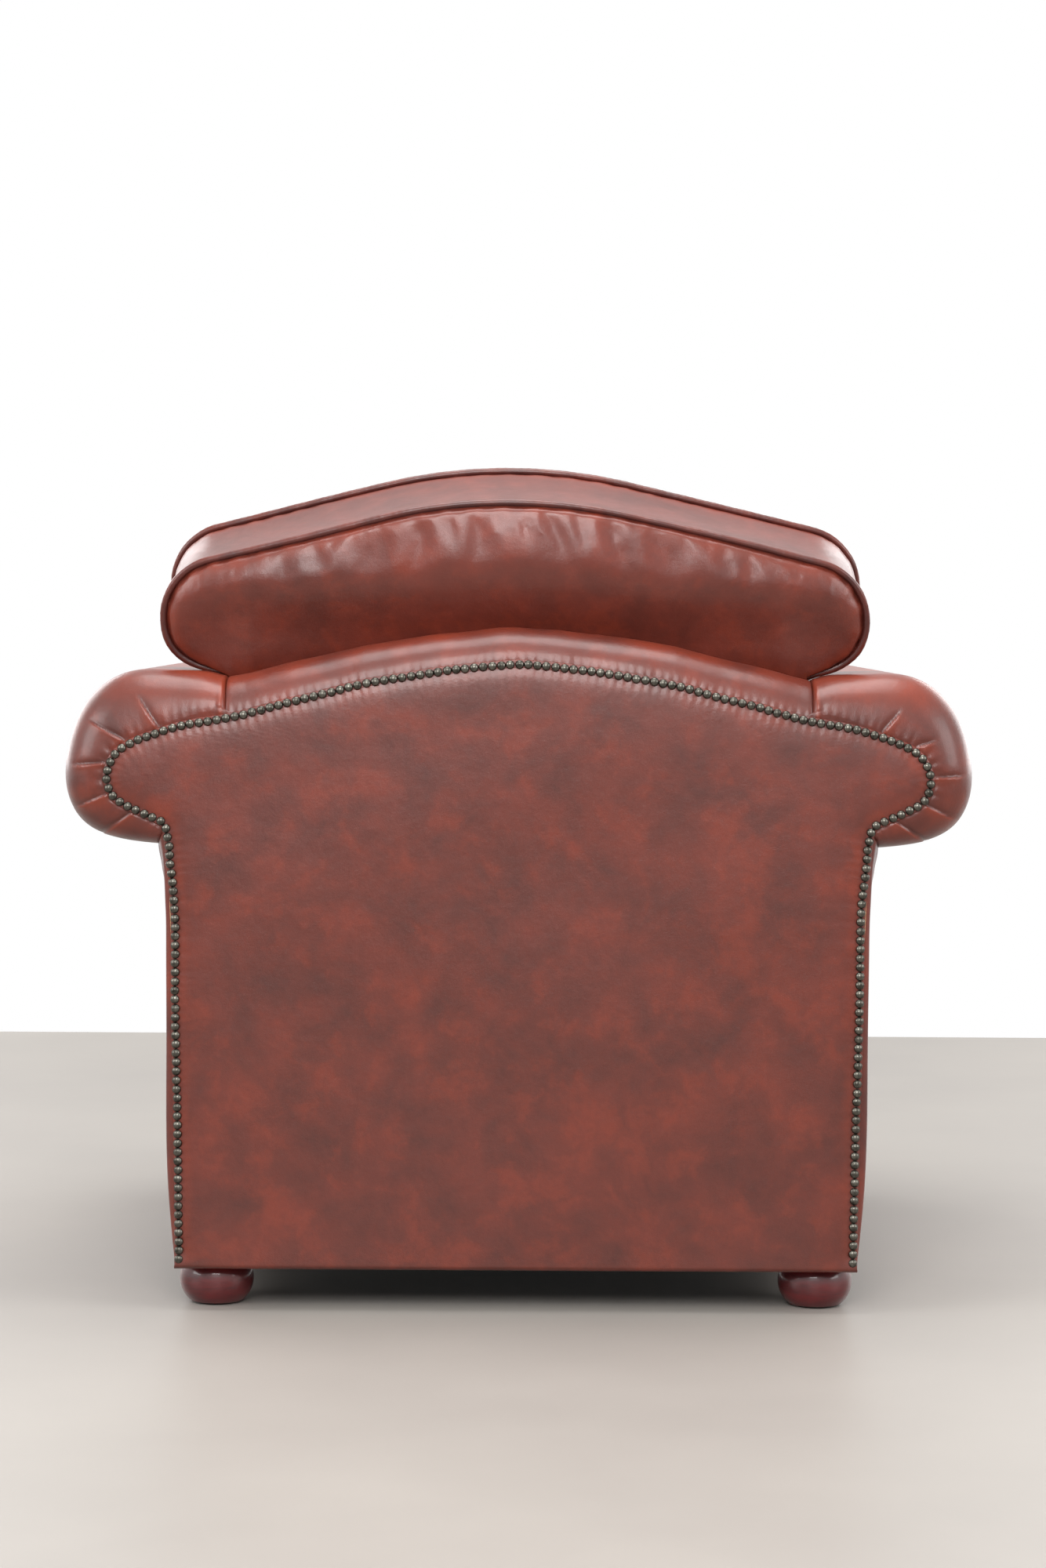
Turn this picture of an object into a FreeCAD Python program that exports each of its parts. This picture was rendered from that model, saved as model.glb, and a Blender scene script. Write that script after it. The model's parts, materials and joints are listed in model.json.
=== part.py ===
"""A leather club armchair in the chesterfield manner, worked out from a photograph of its back.

A beech frame stands on four turned bun feet. Scroll boards at both ends of each arm carry the rolled,
buttoned arms. The back has a camel top under a padded roll, and a leather panel closes it behind a row of
domed nails. Two loose piped cushions, seat and back, lift out and have zips of their own.

Millimetres, +Z up, the floor at Z = 0, the sitter faces -Y, and left is the sitter's left, +X.
"""
import FreeCAD, Part
import math
import os
import re
from FreeCAD import Matrix, Placement, Rotation, Vector

doc = FreeCAD.newDocument("chesterfield_armchair")
sheet = doc.addObject("Spreadsheet::Sheet", "Sizes")

SIZES = [
    ("back_face", 453, "rear face of the frame boards, from the middle of the chair"),
    ("front_face", -450, "front face of the frame boards"),
    ("board", 25, "thickness of the beech boards"),
    ("foot_height", 50, "underside of the rails above the floor"),
    ("rail_height", 110, "height of the side and back base rails"),
    ("spring_rail_top", 262, "top of the rails that carry the seat springs"),
    ("spring_rail_height", 72, "height of the rails behind and beside the springs"),
    ("stem_inner", 305, "inner edge of the arm boards from the middle"),
    ("stem_outer", 392, "outer faces of the side rails from the middle"),
    ("arm_inner", 272, "inside face of the arms from the middle"),
    ("arm_outer", 525, "outermost reach of the arm roll from the middle"),
    ("arm_low", 240, "lower edge of the inside arm"),
    ("roll_top", 740, "top of the arm roll above the floor"),
    ("roll_low", 540, "underside of the arm roll above the floor"),
    ("arm_bend", 560, "height where the inside arm starts to roll over"),
    ("scroll_reach", 474, "outermost nails of the scroll from the middle"),
    ("scroll_top", 682, "highest nails of the scroll"),
    ("end_round", 50, "rounding of the arm roll at its ends"),
    ("top_rail_inner", 340, "inner edge of the arm top rail from the middle"),
    ("top_rail_width", 90, "width of the arm top rail"),
    ("top_rail_z", 590, "underside of the arm top rail"),
    ("deck_top", 303, "top of the sprung seat deck"),
    ("camel_top", 750.5, "nail line at the middle of the back"),
    ("camel_fall", 64.5, "fall of the nail line from the middle to the mitre seam"),
    ("camel_rail_low", 640, "underside of the back's top rail"),
    ("mitre_x", 339, "seam between the back roll and the arm rolls"),
    ("back_roll_rise", 42, "rise of the back roll over the nail line, in the middle"),
    ("mitre_rise", 47, "rise of the back roll over the nail line, at the seam"),
    ("back_tilt", 17, "lean of the inside back and its cushion, degrees"),
    ("pad_thickness", 30, "thickness of the inside back pad"),
    ("webbing_thickness", 2, "thickness of the webbing"),
    ("webbing_width", 50, "width of one webbing strip"),
    ("webbing_pitch", 78, "spacing of the webbing strips up the back"),
    ("rib_x", 230, "inner face of the back ribs from the middle"),
    ("panel_thickness", 3, "leather and card of the outside back"),
    ("panel_margin", 5.5, "panel edge beyond the nail line"),
    ("board_margin", 4, "board edge beyond the nail line"),
    ("facing_thickness", 3, "leather and card of the scroll facings"),
    ("facing_nail_inset", 7, "facing nails in from the edge of the facing"),
    ("border_thickness", 6, "padded leather of the front border"),
    ("hem_height", 48.6, "lower edge of the leather above the floor"),
    ("outside_padding", 14, "padding of the outside arm over the side rails"),
    ("nail_pitch", 10.4, "spacing of the upholstery nails"),
    ("nail_radius", 5.05, "radius of a nail head"),
    ("nail_rise", 3.6, "height of a nail head"),
    ("shank_radius", 0.9, "radius of a nail shank"),
    ("shank_length", 10, "length of a nail shank"),
    ("foot_x", 351, "foot axis from the middle, across"),
    ("foot_y", 394, "foot axis from the middle, front and back"),
    ("foot_radius", 43, "widest radius of the bun foot"),
    ("foot_base", 31, "radius of the foot's base"),
    ("foot_neck", 36, "radius of the foot's top"),
    ("glide_thickness", 2.5, "height of the nail-on glide"),
    ("glide_radius", 14, "radius of the glide"),
    ("bolt_radius", 4, "radius of the hanger bolt"),
    ("bolt_low", 20, "lower end of the hanger bolt"),
    ("bolt_high", 88, "upper end of the hanger bolt"),
    ("nut_radius", 5.5, "radius of the tee nut's barrel"),
    ("nut_barrel", 12, "length of the tee nut's barrel"),
    ("nut_flange", 11, "radius of the tee nut's flange"),
    ("nut_plate", 1.5, "thickness of the tee nut's flange"),
    ("block_height", 40, "height of the corner blocks"),
    ("block_size", 110, "side of the corner blocks"),
    ("screw_radius", 2.5, "radius of the corner block screws"),
    ("dowel_radius", 5, "radius of the frame dowels"),
    ("dowel_length", 60, "length of the frame dowels"),
    ("cloth", 1, "thickness of the dust cover"),
    ("spring_wire", 3.8, "diameter of the spring wire"),
    ("spring_count", 5, "number of seat springs"),
    ("spring_pitch", 100, "spacing of the seat springs"),
    ("spring_half", 24, "half width of a zigzag spring"),
    ("spring_step", 26, "distance between two cross legs of a spring"),
    ("clip_width", 16, "width of a spring clip"),
    ("clip_plate", 1, "thickness of a spring clip"),
    ("leather", 3, "leather with its lining"),
    ("gap", 0.3, "clearance between pieces that come apart"),
    ("button_radius", 11, "radius of a covered button"),
    ("button_rise", 5, "height of a covered button"),
    ("tuft_radius", 27, "radius of the hollow round a button"),
    ("tuft_depth", 12, "depth of the hollow round a button"),
    ("button_pitch", 120, "spacing of the buttons along the arm"),
    ("button_first", -350, "foremost button of the lower row"),
    ("button_low", 515, "height of the lower row of buttons"),
    ("button_high", 612, "height of the upper row of buttons"),
    ("button_count", 6, "buttons in the lower row of an arm"),
    ("seat_half", 267, "half width of the seat cushion at its piping"),
    ("seat_front", -436, "front of the seat cushion at its piping"),
    ("seat_back", 225, "rear of the seat cushion at its piping"),
    ("seat_low_piping", 312, "lower piping of the seat cushion"),
    ("seat_high_piping", 425, "upper piping of the seat cushion"),
    ("seat_crown", 30, "crown of the seat cushion over its piping"),
    ("seat_corner", 40, "corner radius of the seat cushion"),
    ("draw_in", 4, "how far the borders are drawn in between the pipings"),
    ("piping_radius", 4.2, "radius of the piping"),
    ("cushion_thickness", 140, "distance between the back cushion's pipings"),
    ("cushion_setback", 40, "top of the rear piping ahead of the back face"),
    ("cushion_top", 937, "top of the back cushion's rear piping"),
    ("cushion_peak", 954.4, "height where the two slopes of the cushion's top would meet"),
    ("cushion_shoulder", 856, "height of the back cushion's shoulders"),
    ("cushion_ear", 745, "underside of the ears that lie over the arms"),
    ("cushion_waist", 606, "height where the cushion has narrowed between the arms"),
    ("cushion_bottom", 460, "lower piping of the back cushion"),
    ("cushion_reach", 417, "reach of the ears from the middle"),
    ("cushion_armpit", 316, "inner end of the ears from the middle"),
    ("cushion_neck", 264, "half width of the back cushion between the arms"),
    ("cushion_crown", 32, "crown of the back cushion's faces"),
    ("cushion_press", 12, "crown left where the cushion leans on the back"),
    ("cushion_button_pitch", 130, "spacing of the buttons across the back cushion"),
    ("cushion_row_pitch", 115, "spacing of its rows of buttons"),
    ("cushion_row_first", 110, "upper row of buttons below the cushion's top"),
    ("zip_length", 320, "length of the zip tapes"),
    ("zip_width", 22, "width of the zip tapes"),
    ("zip_tape", 1.6, "thickness of the zip tapes"),
    ("zip_travel", 290, "travel of a zip slider"),
    ("slider_length", 12, "length of a zip slider"),
    ("slider_width", 9, "width of a zip slider"),
    ("slider_height", 3.2, "height of a zip slider"),
    ("pull_length", 24, "length of a zip slider's pull"),
]
for row, (alias, value, note) in enumerate(SIZES, start=1):
    sheet.set(f"A{row}", note)
    sheet.set(f"B{row}", str(value))
    sheet.setAlias(f"B{row}", alias)
doc.recompute()


class Dimensions:
    """The driving dimensions, read back from the sheet by their names."""

    def __getattr__(self, alias):
        return float(getattr(sheet, alias))


size = Dimensions()
tilt = math.radians(size.back_tilt)
subparts = []


def bound(text):
    """An expression in size names, written out for the sheet's cells."""
    return re.sub(r"[a-z][a-z_]*", lambda word: "Sizes." + word.group(0), text)


def keep(item, label):
    """Enters an object as a sub-part under its label."""
    item.Label = label
    subparts.append(item)
    return item


def feature(label, shape):
    """A sub-part whose shape is worked out with Part's own functions."""
    item = doc.addObject("Part::Feature", label)
    item.Shape = shape
    item.Placement = Placement()
    return keep(item, label)


def pair(name, shape):
    """A left sub-part and its mirror image on the right."""
    return feature(name + "_left", shape), feature(name + "_right", mirror(shape))


def mirror(shape):
    """A shape's mirror image on the other side of the chair."""
    return shape.mirror(Vector(), Vector(1, 0, 0))


def block(name, x, y, z):
    """A box between two bound expressions on each axis."""
    item = doc.addObject("Part::Box", name)
    for edge, axis, (low, high) in (("Length", "x", x), ("Width", "y", y), ("Height", "z", z)):
        item.setExpression(edge, bound(f"({high}) - ({low})"))
        item.setExpression("Placement.Base." + axis, bound(low))
    return item


def drilled(label, item, tool):
    """A sub-part that is an object with a tool's shape taken out."""
    cut = doc.addObject("Part::Cut", label)
    cut.Base, cut.Tool = item, tool
    return keep(cut, label)


def box(x0, x1, y0, y1, z0, z1):
    """A plain box shape between two corners."""
    return Part.makeBox(x1 - x0, y1 - y0, z1 - z0, Vector(x0, y0, z0))


def lines(points):
    """The straight edges of an open run of points."""
    return [Part.LineSegment(a, b).toShape() for a, b in zip(points, points[1:])]


def spline(points):
    """One smooth edge through a run of points."""
    curve = Part.BSplineCurve()
    curve.interpolate(points)
    return curve.toShape()


def arc(start, middle, end):
    """An arc through three points."""
    return Part.Arc(start, middle, end).toShape()


def prism(edges, along):
    """A solid drawn out from a closed run of edges."""
    return Part.Face(Part.Wire(edges)).extrude(along)


def cylinder(radius, base, axis, length):
    """A cylinder from a base point along an axis."""
    return Part.makeCylinder(radius, length, base, axis)


def at(shape, *moves):
    """A compound of copies of a shape, one for each placement or vector."""
    copies = []
    for move in moves:
        copy = shape.copy()
        copy.Placement = (move if isinstance(move, Placement) else Placement(move, Rotation())).multiply(
            shape.Placement)
        copies.append(copy)
    return Part.makeCompound(copies)


# Outlines that the photograph gives, as shares between named lines
ROLL = [(0, .10), (.047, .50), (.158, .83), (.289, .965), (.486, 1), (.723, .92), (.897, .75), (.988, .525),
        (.996, .30), (.925, .13), (.775, .035), (.577, 0)]
CAMEL = [(0, 0), (.067, .022), (.133, .054), (.266, .136), (.399, .247), (.533, .37), (.666, .555),
         (.799, .727), (.932, .921), (1, 1)]
SCROLL = [(-.312, .997), (.065, .944), (.317, .889), (.571, .825), (.809, .738), (.902, .672), (.963, .59),
          (1, .443), (.97, .369), (.915, .299), (.809, .243), (.691, .2), (.57, .161), (.446, .125),
          (.335, .093), (.224, .053), (.159, -.027), (.137, -.102), (.117, -.193), (.113, -.279)]
STEM = [(.08, .931), (.034, .73), (.006, .464), (-.024, .13)]
HEAD = [(-.085, 1.008), (.537, .873), (.848, .758), (1.024, .59), (1.024, .357), (.823, .211), (.537, .116),
        (.232, .008)]
HEAD_FRONT = [(-.99, .5), (-.817, .83), (-.488, .985)]
HEAD_REAR = [(-1.024, .53), (-.878, .918), (-.537, 1.066)]


def head_point(u, v):
    """A point of the scroll, from its shares of the reach and of the height."""
    return Vector(size.stem_outer + u * (size.scroll_reach - size.stem_outer), 0,
                  size.arm_bend + v * (size.scroll_top - size.arm_bend))


def nail_points():
    """The nail line of the outside back on the left, from the middle to the hem."""
    points = [Vector(u * size.mitre_x, 0, size.camel_top - v * size.camel_fall) for u, v in CAMEL]
    points += [head_point(u, v) for u, v in SCROLL]
    points += [Vector(head_point(u, 0).x, 0, v * size.roll_low) for u, v in STEM]
    return points


def offset(points, distance):
    """A run of points moved to its left-hand side, seen from the rear with +X to the left."""
    moved = []
    for i, point in enumerate(points):
        before, after = points[max(i - 1, 0)], points[min(i + 1, len(points) - 1)]
        along = (after - before).normalize()
        moved.append(point + Vector(-along.z, 0, along.x) * distance)
    return moved


def camel(x):
    """Height of the nail line over the back, at a distance from the middle."""
    share = min(abs(x) / size.mitre_x, 1)
    for (u0, v0), (u1, v1) in zip(CAMEL, CAMEL[1:]):
        if share <= u1:
            return size.camel_top - size.camel_fall * (v0 + (v1 - v0) * (share - u0) / (u1 - u0))
    return size.camel_top - size.camel_fall


def pad_y(z):
    """Y of the leather of the inside back at a height: the plane that the back cushion leans on."""
    lean = (size.cushion_top - z) * math.tan(tilt)
    return size.back_face - size.cushion_setback - lean + size.cushion_press / math.cos(tilt)


def rib_y(z):
    """Y of the ribs' front edge, behind the pad and the webbing."""
    return pad_y(z) + (size.pad_thickness + size.webbing_thickness) / math.cos(tilt)


# Scroll boards at the four corners, from the floor rails up to the scrolls
def board_edges(front):
    """Outline of a left scroll board, seen in the plane across the chair."""
    head = [Vector(size.stem_inner, 0, size.arm_bend)]
    head += [head_point(u, v) for u, v in (HEAD_FRONT if front else HEAD_REAR) + HEAD]
    stem = [head[-1], head_point(.183, -.115), head_point(.159, -.279)]
    stem += [Vector(head_point(u, 0).x + size.board_margin, 0, v * size.roll_low) for u, v in STEM[:3]]
    stem += [Vector(head_point(STEM[3][0], 0).x + size.board_margin, 0, size.foot_height)]
    foot = [stem[-1], Vector(size.stem_inner, 0, size.foot_height), head[0]]
    return [spline(head)] + lines(stem) + lines(foot)


front_board = prism(board_edges(True), Vector(0, size.board, 0))
front_board.translate(Vector(0, size.front_face, 0))
rear_board = prism(board_edges(False), Vector(0, size.board, 0))
rear_board.translate(Vector(0, size.back_face - size.board, 0))

# Dowels in every joint of the frame
rail_middle = size.stem_outer - size.board / 2
dowel_x = cylinder(size.dowel_radius, Vector(-size.dowel_length / 2, 0, 0), Vector(1, 0, 0), size.dowel_length)
dowel_y = cylinder(size.dowel_radius, Vector(0, -size.dowel_length / 2, 0), Vector(0, 1, 0), size.dowel_length)
front_middle = size.front_face + size.board / 2
back_middle = size.back_face - size.board / 2
inner_ends = (size.front_face + size.board, size.back_face - size.board)
dowel_rows = (size.foot_height + 30, size.foot_height + size.rail_height - 30)
across = [Vector(side * size.stem_inner, y, z)
          for side in (-1, 1) for y in (front_middle, back_middle) for z in dowel_rows]
along = [Vector(side * rail_middle, y + (-17 if y > 0 else 17), z)
         for side in (-1, 1) for y in inner_ends for z in dowel_rows]
along += [Vector(side * (size.top_rail_inner + share * size.top_rail_width), y + (-17 if y > 0 else 17),
                 size.top_rail_z + size.board / 2)
          for side in (-1, 1) for y in inner_ends for share in (.25, .75)]
dowels = feature("frame_dowels", Part.makeCompound([at(dowel_x, *across), at(dowel_y, *along)]))

# Corner blocks inside the base rails, screwed both ways
up = Vector(0, 0, 1)
corners = [(x, y) for x in (1, -1) for y in (-1, 1)]
leg_x, leg_y = size.stem_outer - size.board, size.front_face + size.board
leg_back = size.back_face - size.board


def corner_block(x, y):
    """One triangular block inside a corner of the base frame."""
    apex = Vector(x * leg_x, leg_y if y < 0 else leg_back, size.foot_height)
    shape = prism(lines([apex, apex - Vector(x * size.block_size, 0, 0), apex - Vector(0, y * size.block_size, 0),
                         apex]), Vector(0, 0, size.block_height))
    axis = Vector(x * size.foot_x, y * size.foot_y, 0)
    shape = shape.cut(cylinder(size.bolt_radius, axis, up, 200))
    barrel_low = size.foot_height + size.block_height - size.nut_barrel
    shape = shape.cut(cylinder(size.nut_radius, axis + up * barrel_low, up, 100))
    screws = []
    for start, along in ((Vector(apex.x - x * 25, apex.y - y * 85, 70), Vector(x, 0, 0)),
                         (Vector(apex.x - x * 82, apex.y - y * 28, 70), Vector(0, y, 0))):
        screws.append(cylinder(size.screw_radius, start, along, 45))
    return shape.cut(screws), screws


placed = [corner_block(x, y) for x, y in corners]
feature("corner_blocks", Part.makeCompound([shape for shape, screws in placed]))
block_screws = Part.makeCompound([screw for shape, screws in placed for screw in screws])
feature("corner_block_screws", block_screws)

fasteners = doc.addObject("Part::Feature", "fastener_holes")
fasteners.Shape = Part.makeCompound([dowels.Shape, block_screws])

# Base rails between the boards, and the rails inside the arms and behind the seat
between = ("front_face + board", "back_face - board")
drilled("base_rail_front", block("front_rail", ("-stem_inner", "stem_inner"),
                                 ("front_face", "front_face + board"), ("foot_height", "spring_rail_top")), fasteners)
drilled("base_rail_back", block("back_rail", ("-stem_inner", "stem_inner"),
                                ("back_face - board", "back_face"), ("foot_height", "foot_height + rail_height")),
        fasteners)
for side, sides in (("left", lambda low, high: (low, high)), ("right", lambda low, high: (f"-({high})", f"-({low})"))):
    drilled("base_rail_" + side, block("side_rail_" + side, sides("stem_outer - board", "stem_outer"), between,
                                       ("foot_height", "foot_height + rail_height")), fasteners)
    drilled("arm_top_rail_" + side,
            block("top_rail_" + side, sides("top_rail_inner", "top_rail_inner + top_rail_width"), between,
                  ("top_rail_z", "top_rail_z + board")), fasteners)
    keep(block("arm_stuffing_rail_" + side, sides("stem_inner", "stem_inner + board"), between,
               ("deck_top - spring_rail_height", "deck_top")), "arm_stuffing_rail_" + side)
stuffing_front = rib_y(size.spring_rail_top) - size.board
stuffing_rail = box(-size.stem_inner, size.stem_inner, stuffing_front, stuffing_front + size.board,
                    size.spring_rail_top - size.spring_rail_height, size.spring_rail_top)
feature("back_stuffing_rail", stuffing_rail)

# Ribs that carry the leaning inside back, tied into the base rail and the camel rail
rib_top = size.camel_rail_low + 50
rib_low = size.spring_rail_top - size.spring_rail_height
rib_rear = size.back_face - size.board
rib_points = [(rib_rear, size.foot_height), (rib_rear - 90, size.foot_height), (rib_y(rib_low), rib_low),
              (rib_y(rib_top), rib_top), (rib_rear, rib_top), (rib_rear, size.foot_height)]
rib = prism(lines([Vector(size.rib_x, y, z) for y, z in rib_points]), Vector(size.board, 0, 0))
pair("back_rib", rib.cut(stuffing_rail))

# Camel rail along the top of the back
top_x = size.mitre_x
camel_edge = [Vector(-x, 0, camel(x) + size.board_margin) for x in range(300, 0, -50)]
camel_edge = [Vector(-top_x, 0, camel(top_x) + size.board_margin)] + camel_edge
camel_edge += [Vector(0, 0, camel(0) + size.board_margin)] + [Vector(-p.x, 0, p.z) for p in reversed(camel_edge)]
camel_foot = [camel_edge[-1], Vector(top_x, 0, size.camel_rail_low), Vector(-top_x, 0, size.camel_rail_low),
              camel_edge[0]]
camel_rail = prism([spline(camel_edge)] + lines(camel_foot), Vector(0, size.board, 0))
camel_rail.translate(Vector(0, size.back_face - size.board, 0))
camel_rail = camel_rail.cut(Part.makeCompound([rear_board, mirror(rear_board)]))


# Arms: one loft each, from the scroll at the front to the scroll at the back
def arm_wire(y, share, rear, inset):
    """Section of the left arm: share 0 is the full roll, 1 the edge of the scroll board."""
    full = [Vector(size.arm_inner + u * (size.arm_outer - size.arm_inner), 0,
                   size.roll_low + v * (size.roll_top - size.roll_low)) for u, v in ROLL]
    head = [Vector(size.stem_inner, 0, size.arm_bend)]
    head += [head_point(u, v) for u, v in (HEAD_REAR if rear else HEAD_FRONT) + HEAD]
    full, head = offset(full, -inset), offset(head, size.leather - inset)
    curve = [p + (q - p) * share for p, q in zip(full, head)]
    inner_edge = size.stem_inner + 3
    low = size.arm_low - inset / 10
    run = [curve[-1], Vector(inner_edge, 0, curve[-1].z), Vector(inner_edge, 0, low),
           Vector(curve[0].x, 0, low), curve[0]]
    wire = Part.Wire([spline(curve)] + lines(run))
    wire.translate(Vector(0, y, 0))
    return wire


def arm_solid(inset):
    """The left arm, its surface set in by a distance."""
    front, rear = [], []
    for depth in (0, .06, .18, .36, .64, 1):
        share = 1 - math.sqrt(1 - (1 - depth) ** 2)
        front.append(arm_wire(size.front_face + depth * size.end_round, share, False, inset))
        rear.insert(0, arm_wire(size.back_face - depth * size.end_round, share, True, inset))
    return Part.makeLoft(front + rear, True, True)


def tuft(place, normal, depth):
    """The hollow that a button pulls into padding, at a depth below the surface."""
    flare = (size.tuft_radius - size.button_radius) / size.tuft_depth
    above = size.tuft_depth / 2
    mouth = place + normal * (above - depth)
    return Part.makeCone(size.tuft_radius + above * flare, size.button_radius, size.tuft_depth + above, mouth,
                         -normal)


def cap(radius, rise, shank=0, length=0):
    """A domed head on the XY plane, with a shank below it."""
    top, edge = Vector(0, 0, rise), Vector(radius, 0, 0)
    middle = Vector(radius * .62, 0, rise * .745)
    rim = [arc(top, middle, edge)]
    if shank:
        rim += lines([edge, Vector(shank, 0, 0), Vector(shank, 0, -length), Vector(0, 0, -length), top])
    else:
        rim += lines([edge, Vector(), top])
    return Part.Face(Part.Wire(rim)).revolve(Vector(), Vector(0, 0, 1), 360)


def facing_to(place, normal):
    """A placement that turns +Z to a normal."""
    return Placement(place, Rotation(Vector(0, 0, 1), normal))


roll_curve = [Vector(size.arm_inner + u * (size.arm_outer - size.arm_inner), 0,
                     size.roll_low + v * (size.roll_top - size.roll_low)) for u, v in ROLL]
roll_edge = spline(roll_curve)
arm_tufts = []
for height, shift, count in ((size.button_low, 0, size.button_count), (size.button_high, .5, size.button_count - 1)):
    for i in range(int(count)):
        y = size.button_first + (i + shift) * size.button_pitch
        if height < size.arm_bend:
            spot, normal = Vector(size.arm_inner, 0, height), Vector(-1, 0, 0)
        else:
            near = Part.Vertex(size.arm_inner, 0, height)
            spot = roll_edge.distToShape(near)[1][0][0]
            tangent = roll_edge.tangentAt(roll_edge.Curve.parameter(spot))
            normal = Vector(-tangent.z, 0, tangent.x)
        arm_tufts.append((spot + Vector(0, y, 0), normal))

arm_top_rail = box(size.top_rail_inner, size.top_rail_inner + size.top_rail_width, size.front_face + size.board,
                   size.back_face - size.board, size.top_rail_z, size.top_rail_z + size.board)
arm_stuffing_rail = box(size.stem_inner, size.stem_inner + size.board, size.front_face + size.board,
                        size.back_face - size.board, size.deck_top - size.spring_rail_height, size.deck_top)
boards = Part.makeCompound([front_board, rear_board])
button_cap = cap(size.button_radius - size.gap, size.button_rise)

# Back roll over the camel rail: its section changes with the camel from seam to seam
roll_dip = 10


def roll_wire(x):
    """Section of the back roll at a distance from the middle."""
    nails = camel(x)
    rail_edge = nails + size.board_margin
    top = nails + size.back_roll_rise + (size.mitre_rise - size.back_roll_rise) * abs(x) / size.mitre_x
    front = pad_y(nails - roll_dip)
    rear, crest = size.back_face, size.back_face - 46
    points = [Vector(x, rear, rail_edge), Vector(x, rear - 9, rail_edge + 23), Vector(x, crest, top),
              Vector(x, crest - 28, top - 11), Vector(x, front, nails - roll_dip),
              Vector(x, rear - size.board, nails - roll_dip), Vector(x, rear - size.board, rail_edge)]
    return Part.Wire([arc(*points[:3]), arc(*points[2:5])] + lines(points[4:] + points[:1]))


stations = [size.mitre_x * share / 6 for share in range(-6, 7)]
back_roll = Part.makeLoft([roll_wire(x) for x in stations], True, True).cut(camel_rail)

# Arms, cut back where the back roll meets them
seam_low = camel(size.mitre_x) - roll_dip
corner = box(size.arm_inner - 20, size.mitre_x, size.back_face - 92, size.back_face, seam_low, size.roll_top + 20)
arm_form = arm_solid(0).cut([corner, back_roll])
arm_fill = arm_solid(size.leather).cut([corner, back_roll])
arm_outside = arm_form.copy()
arm_form = arm_form.cut([tuft(place, normal, 0) for place, normal in arm_tufts])
arm_fill = arm_fill.cut([tuft(place, normal, size.leather) for place, normal in arm_tufts])
front_rail = box(-size.stem_inner, size.stem_inner, size.front_face, size.front_face + size.board, size.foot_height,
                 size.spring_rail_top)
rails = [arm_stuffing_rail, stuffing_rail, front_rail, camel_rail]
cover = arm_form.cut([arm_fill, boards] + rails)
pair("arm_cover", max(cover.Solids, key=lambda solid: solid.Volume))
filling = arm_fill.cut([boards, arm_top_rail] + rails)
pair("arm_stuffing", max(filling.Solids, key=lambda solid: solid.Volume))
seats = [facing_to(place - normal * size.tuft_depth, normal) for place, normal in arm_tufts]
pair("arm_buttons", at(button_cap, *seats))

# Outside arms: padded leather over the side rails, from the hem up under the roll
OUTSIDE = [(.21, 0), (.57, .0985), (.86, .21), (.985, .54), (1.02, .761), (1.2, .898), (1.85, 1)]
outside = [Vector(size.stem_outer + u * size.outside_padding, 0,
                  size.hem_height + v * (size.roll_low - size.hem_height)) for u, v in OUTSIDE]
tuck = [outside[-1], Vector(outside[-1].x, 0, size.arm_bend), Vector(size.stem_outer, 0, size.arm_bend),
        Vector(size.stem_outer, 0, size.hem_height), outside[0]]
outside_arm = prism([spline(outside)] + lines(tuck), Vector(0, size.back_face - size.front_face, 0))
outside_arm.translate(Vector(0, size.front_face, 0))
outside_arm = outside_arm.cut([boards, arm_outside])
pair("outside_arm", max(outside_arm.Solids, key=lambda solid: solid.Volume))

# Inside back: a leaning pad between the arms, on webbing across the ribs
slope = Vector(0, math.sin(tilt), math.cos(tilt))
forward = Vector(0, -math.cos(tilt), math.sin(tilt))
pad_low = size.spring_rail_top + 6
pad_high = size.camel_top + 40
pad_edges = [Vector(-size.mitre_x, pad_y(z) + shift, z)
             for z, shift in ((pad_low, 0), (pad_high, 0), (pad_high, size.pad_thickness / math.cos(tilt)),
                              (pad_low, size.pad_thickness / math.cos(tilt)), (pad_low, 0))]
pad = prism(lines(pad_edges), Vector(2 * size.mitre_x, 0, 0))
pad_top = [Vector(p.x, 0, p.z - size.board_margin - roll_dip) for p in camel_edge]
pad_front = prism([spline(pad_top)] + lines([pad_top[-1], Vector(pad_top[-1].x, 0, 0), Vector(pad_top[0].x, 0, 0),
                                             pad_top[0]]), Vector(0, size.back_face, 0))
pad = pad.common(pad_front).cut([arm_outside, mirror(arm_outside), back_roll])
feature("inside_back_pad", max(pad.Solids, key=lambda solid: solid.Volume))
feature("back_roll", back_roll)

strip = box(-size.rib_x - size.board, size.rib_x + size.board, 0, size.webbing_thickness, 0, size.webbing_width)
strips = []
for i in range(5):
    z = size.spring_rail_top + 40 + i * size.webbing_pitch
    y = pad_y(z) + size.pad_thickness / math.cos(tilt)
    strips.append(Placement(Vector(0, y, z), Rotation(Vector(1, 0, 0), -size.back_tilt)))
feature("back_webbing", at(strip, *strips))

# Outside back: one leather panel, nailed to the boards and the camel rail along its edge
nail_run = nail_points()
panel_run = offset(nail_run, size.panel_margin)
panel_run[0].x = 0
panel_run[-1] = Vector(panel_run[-1].x, 0, size.hem_height)


def both_sides(points):
    """A run of points from the middle outwards, carried on to the other side."""
    return [Vector(-p.x, p.y, p.z) for p in reversed(points[1:])] + points


panel_curve = both_sides(panel_run)
panel = prism([spline(panel_curve)] + lines([panel_curve[-1], panel_curve[0]]), Vector(0, size.panel_thickness, 0))
panel.translate(Vector(0, size.back_face, 0))


def spaced(edges, pitch):
    """Points along a run of edges, as near to a pitch as whole numbers allow."""
    wire = Part.Wire(edges)
    return wire.discretize(Number=int(round(wire.Length / pitch)) + 1)


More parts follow.
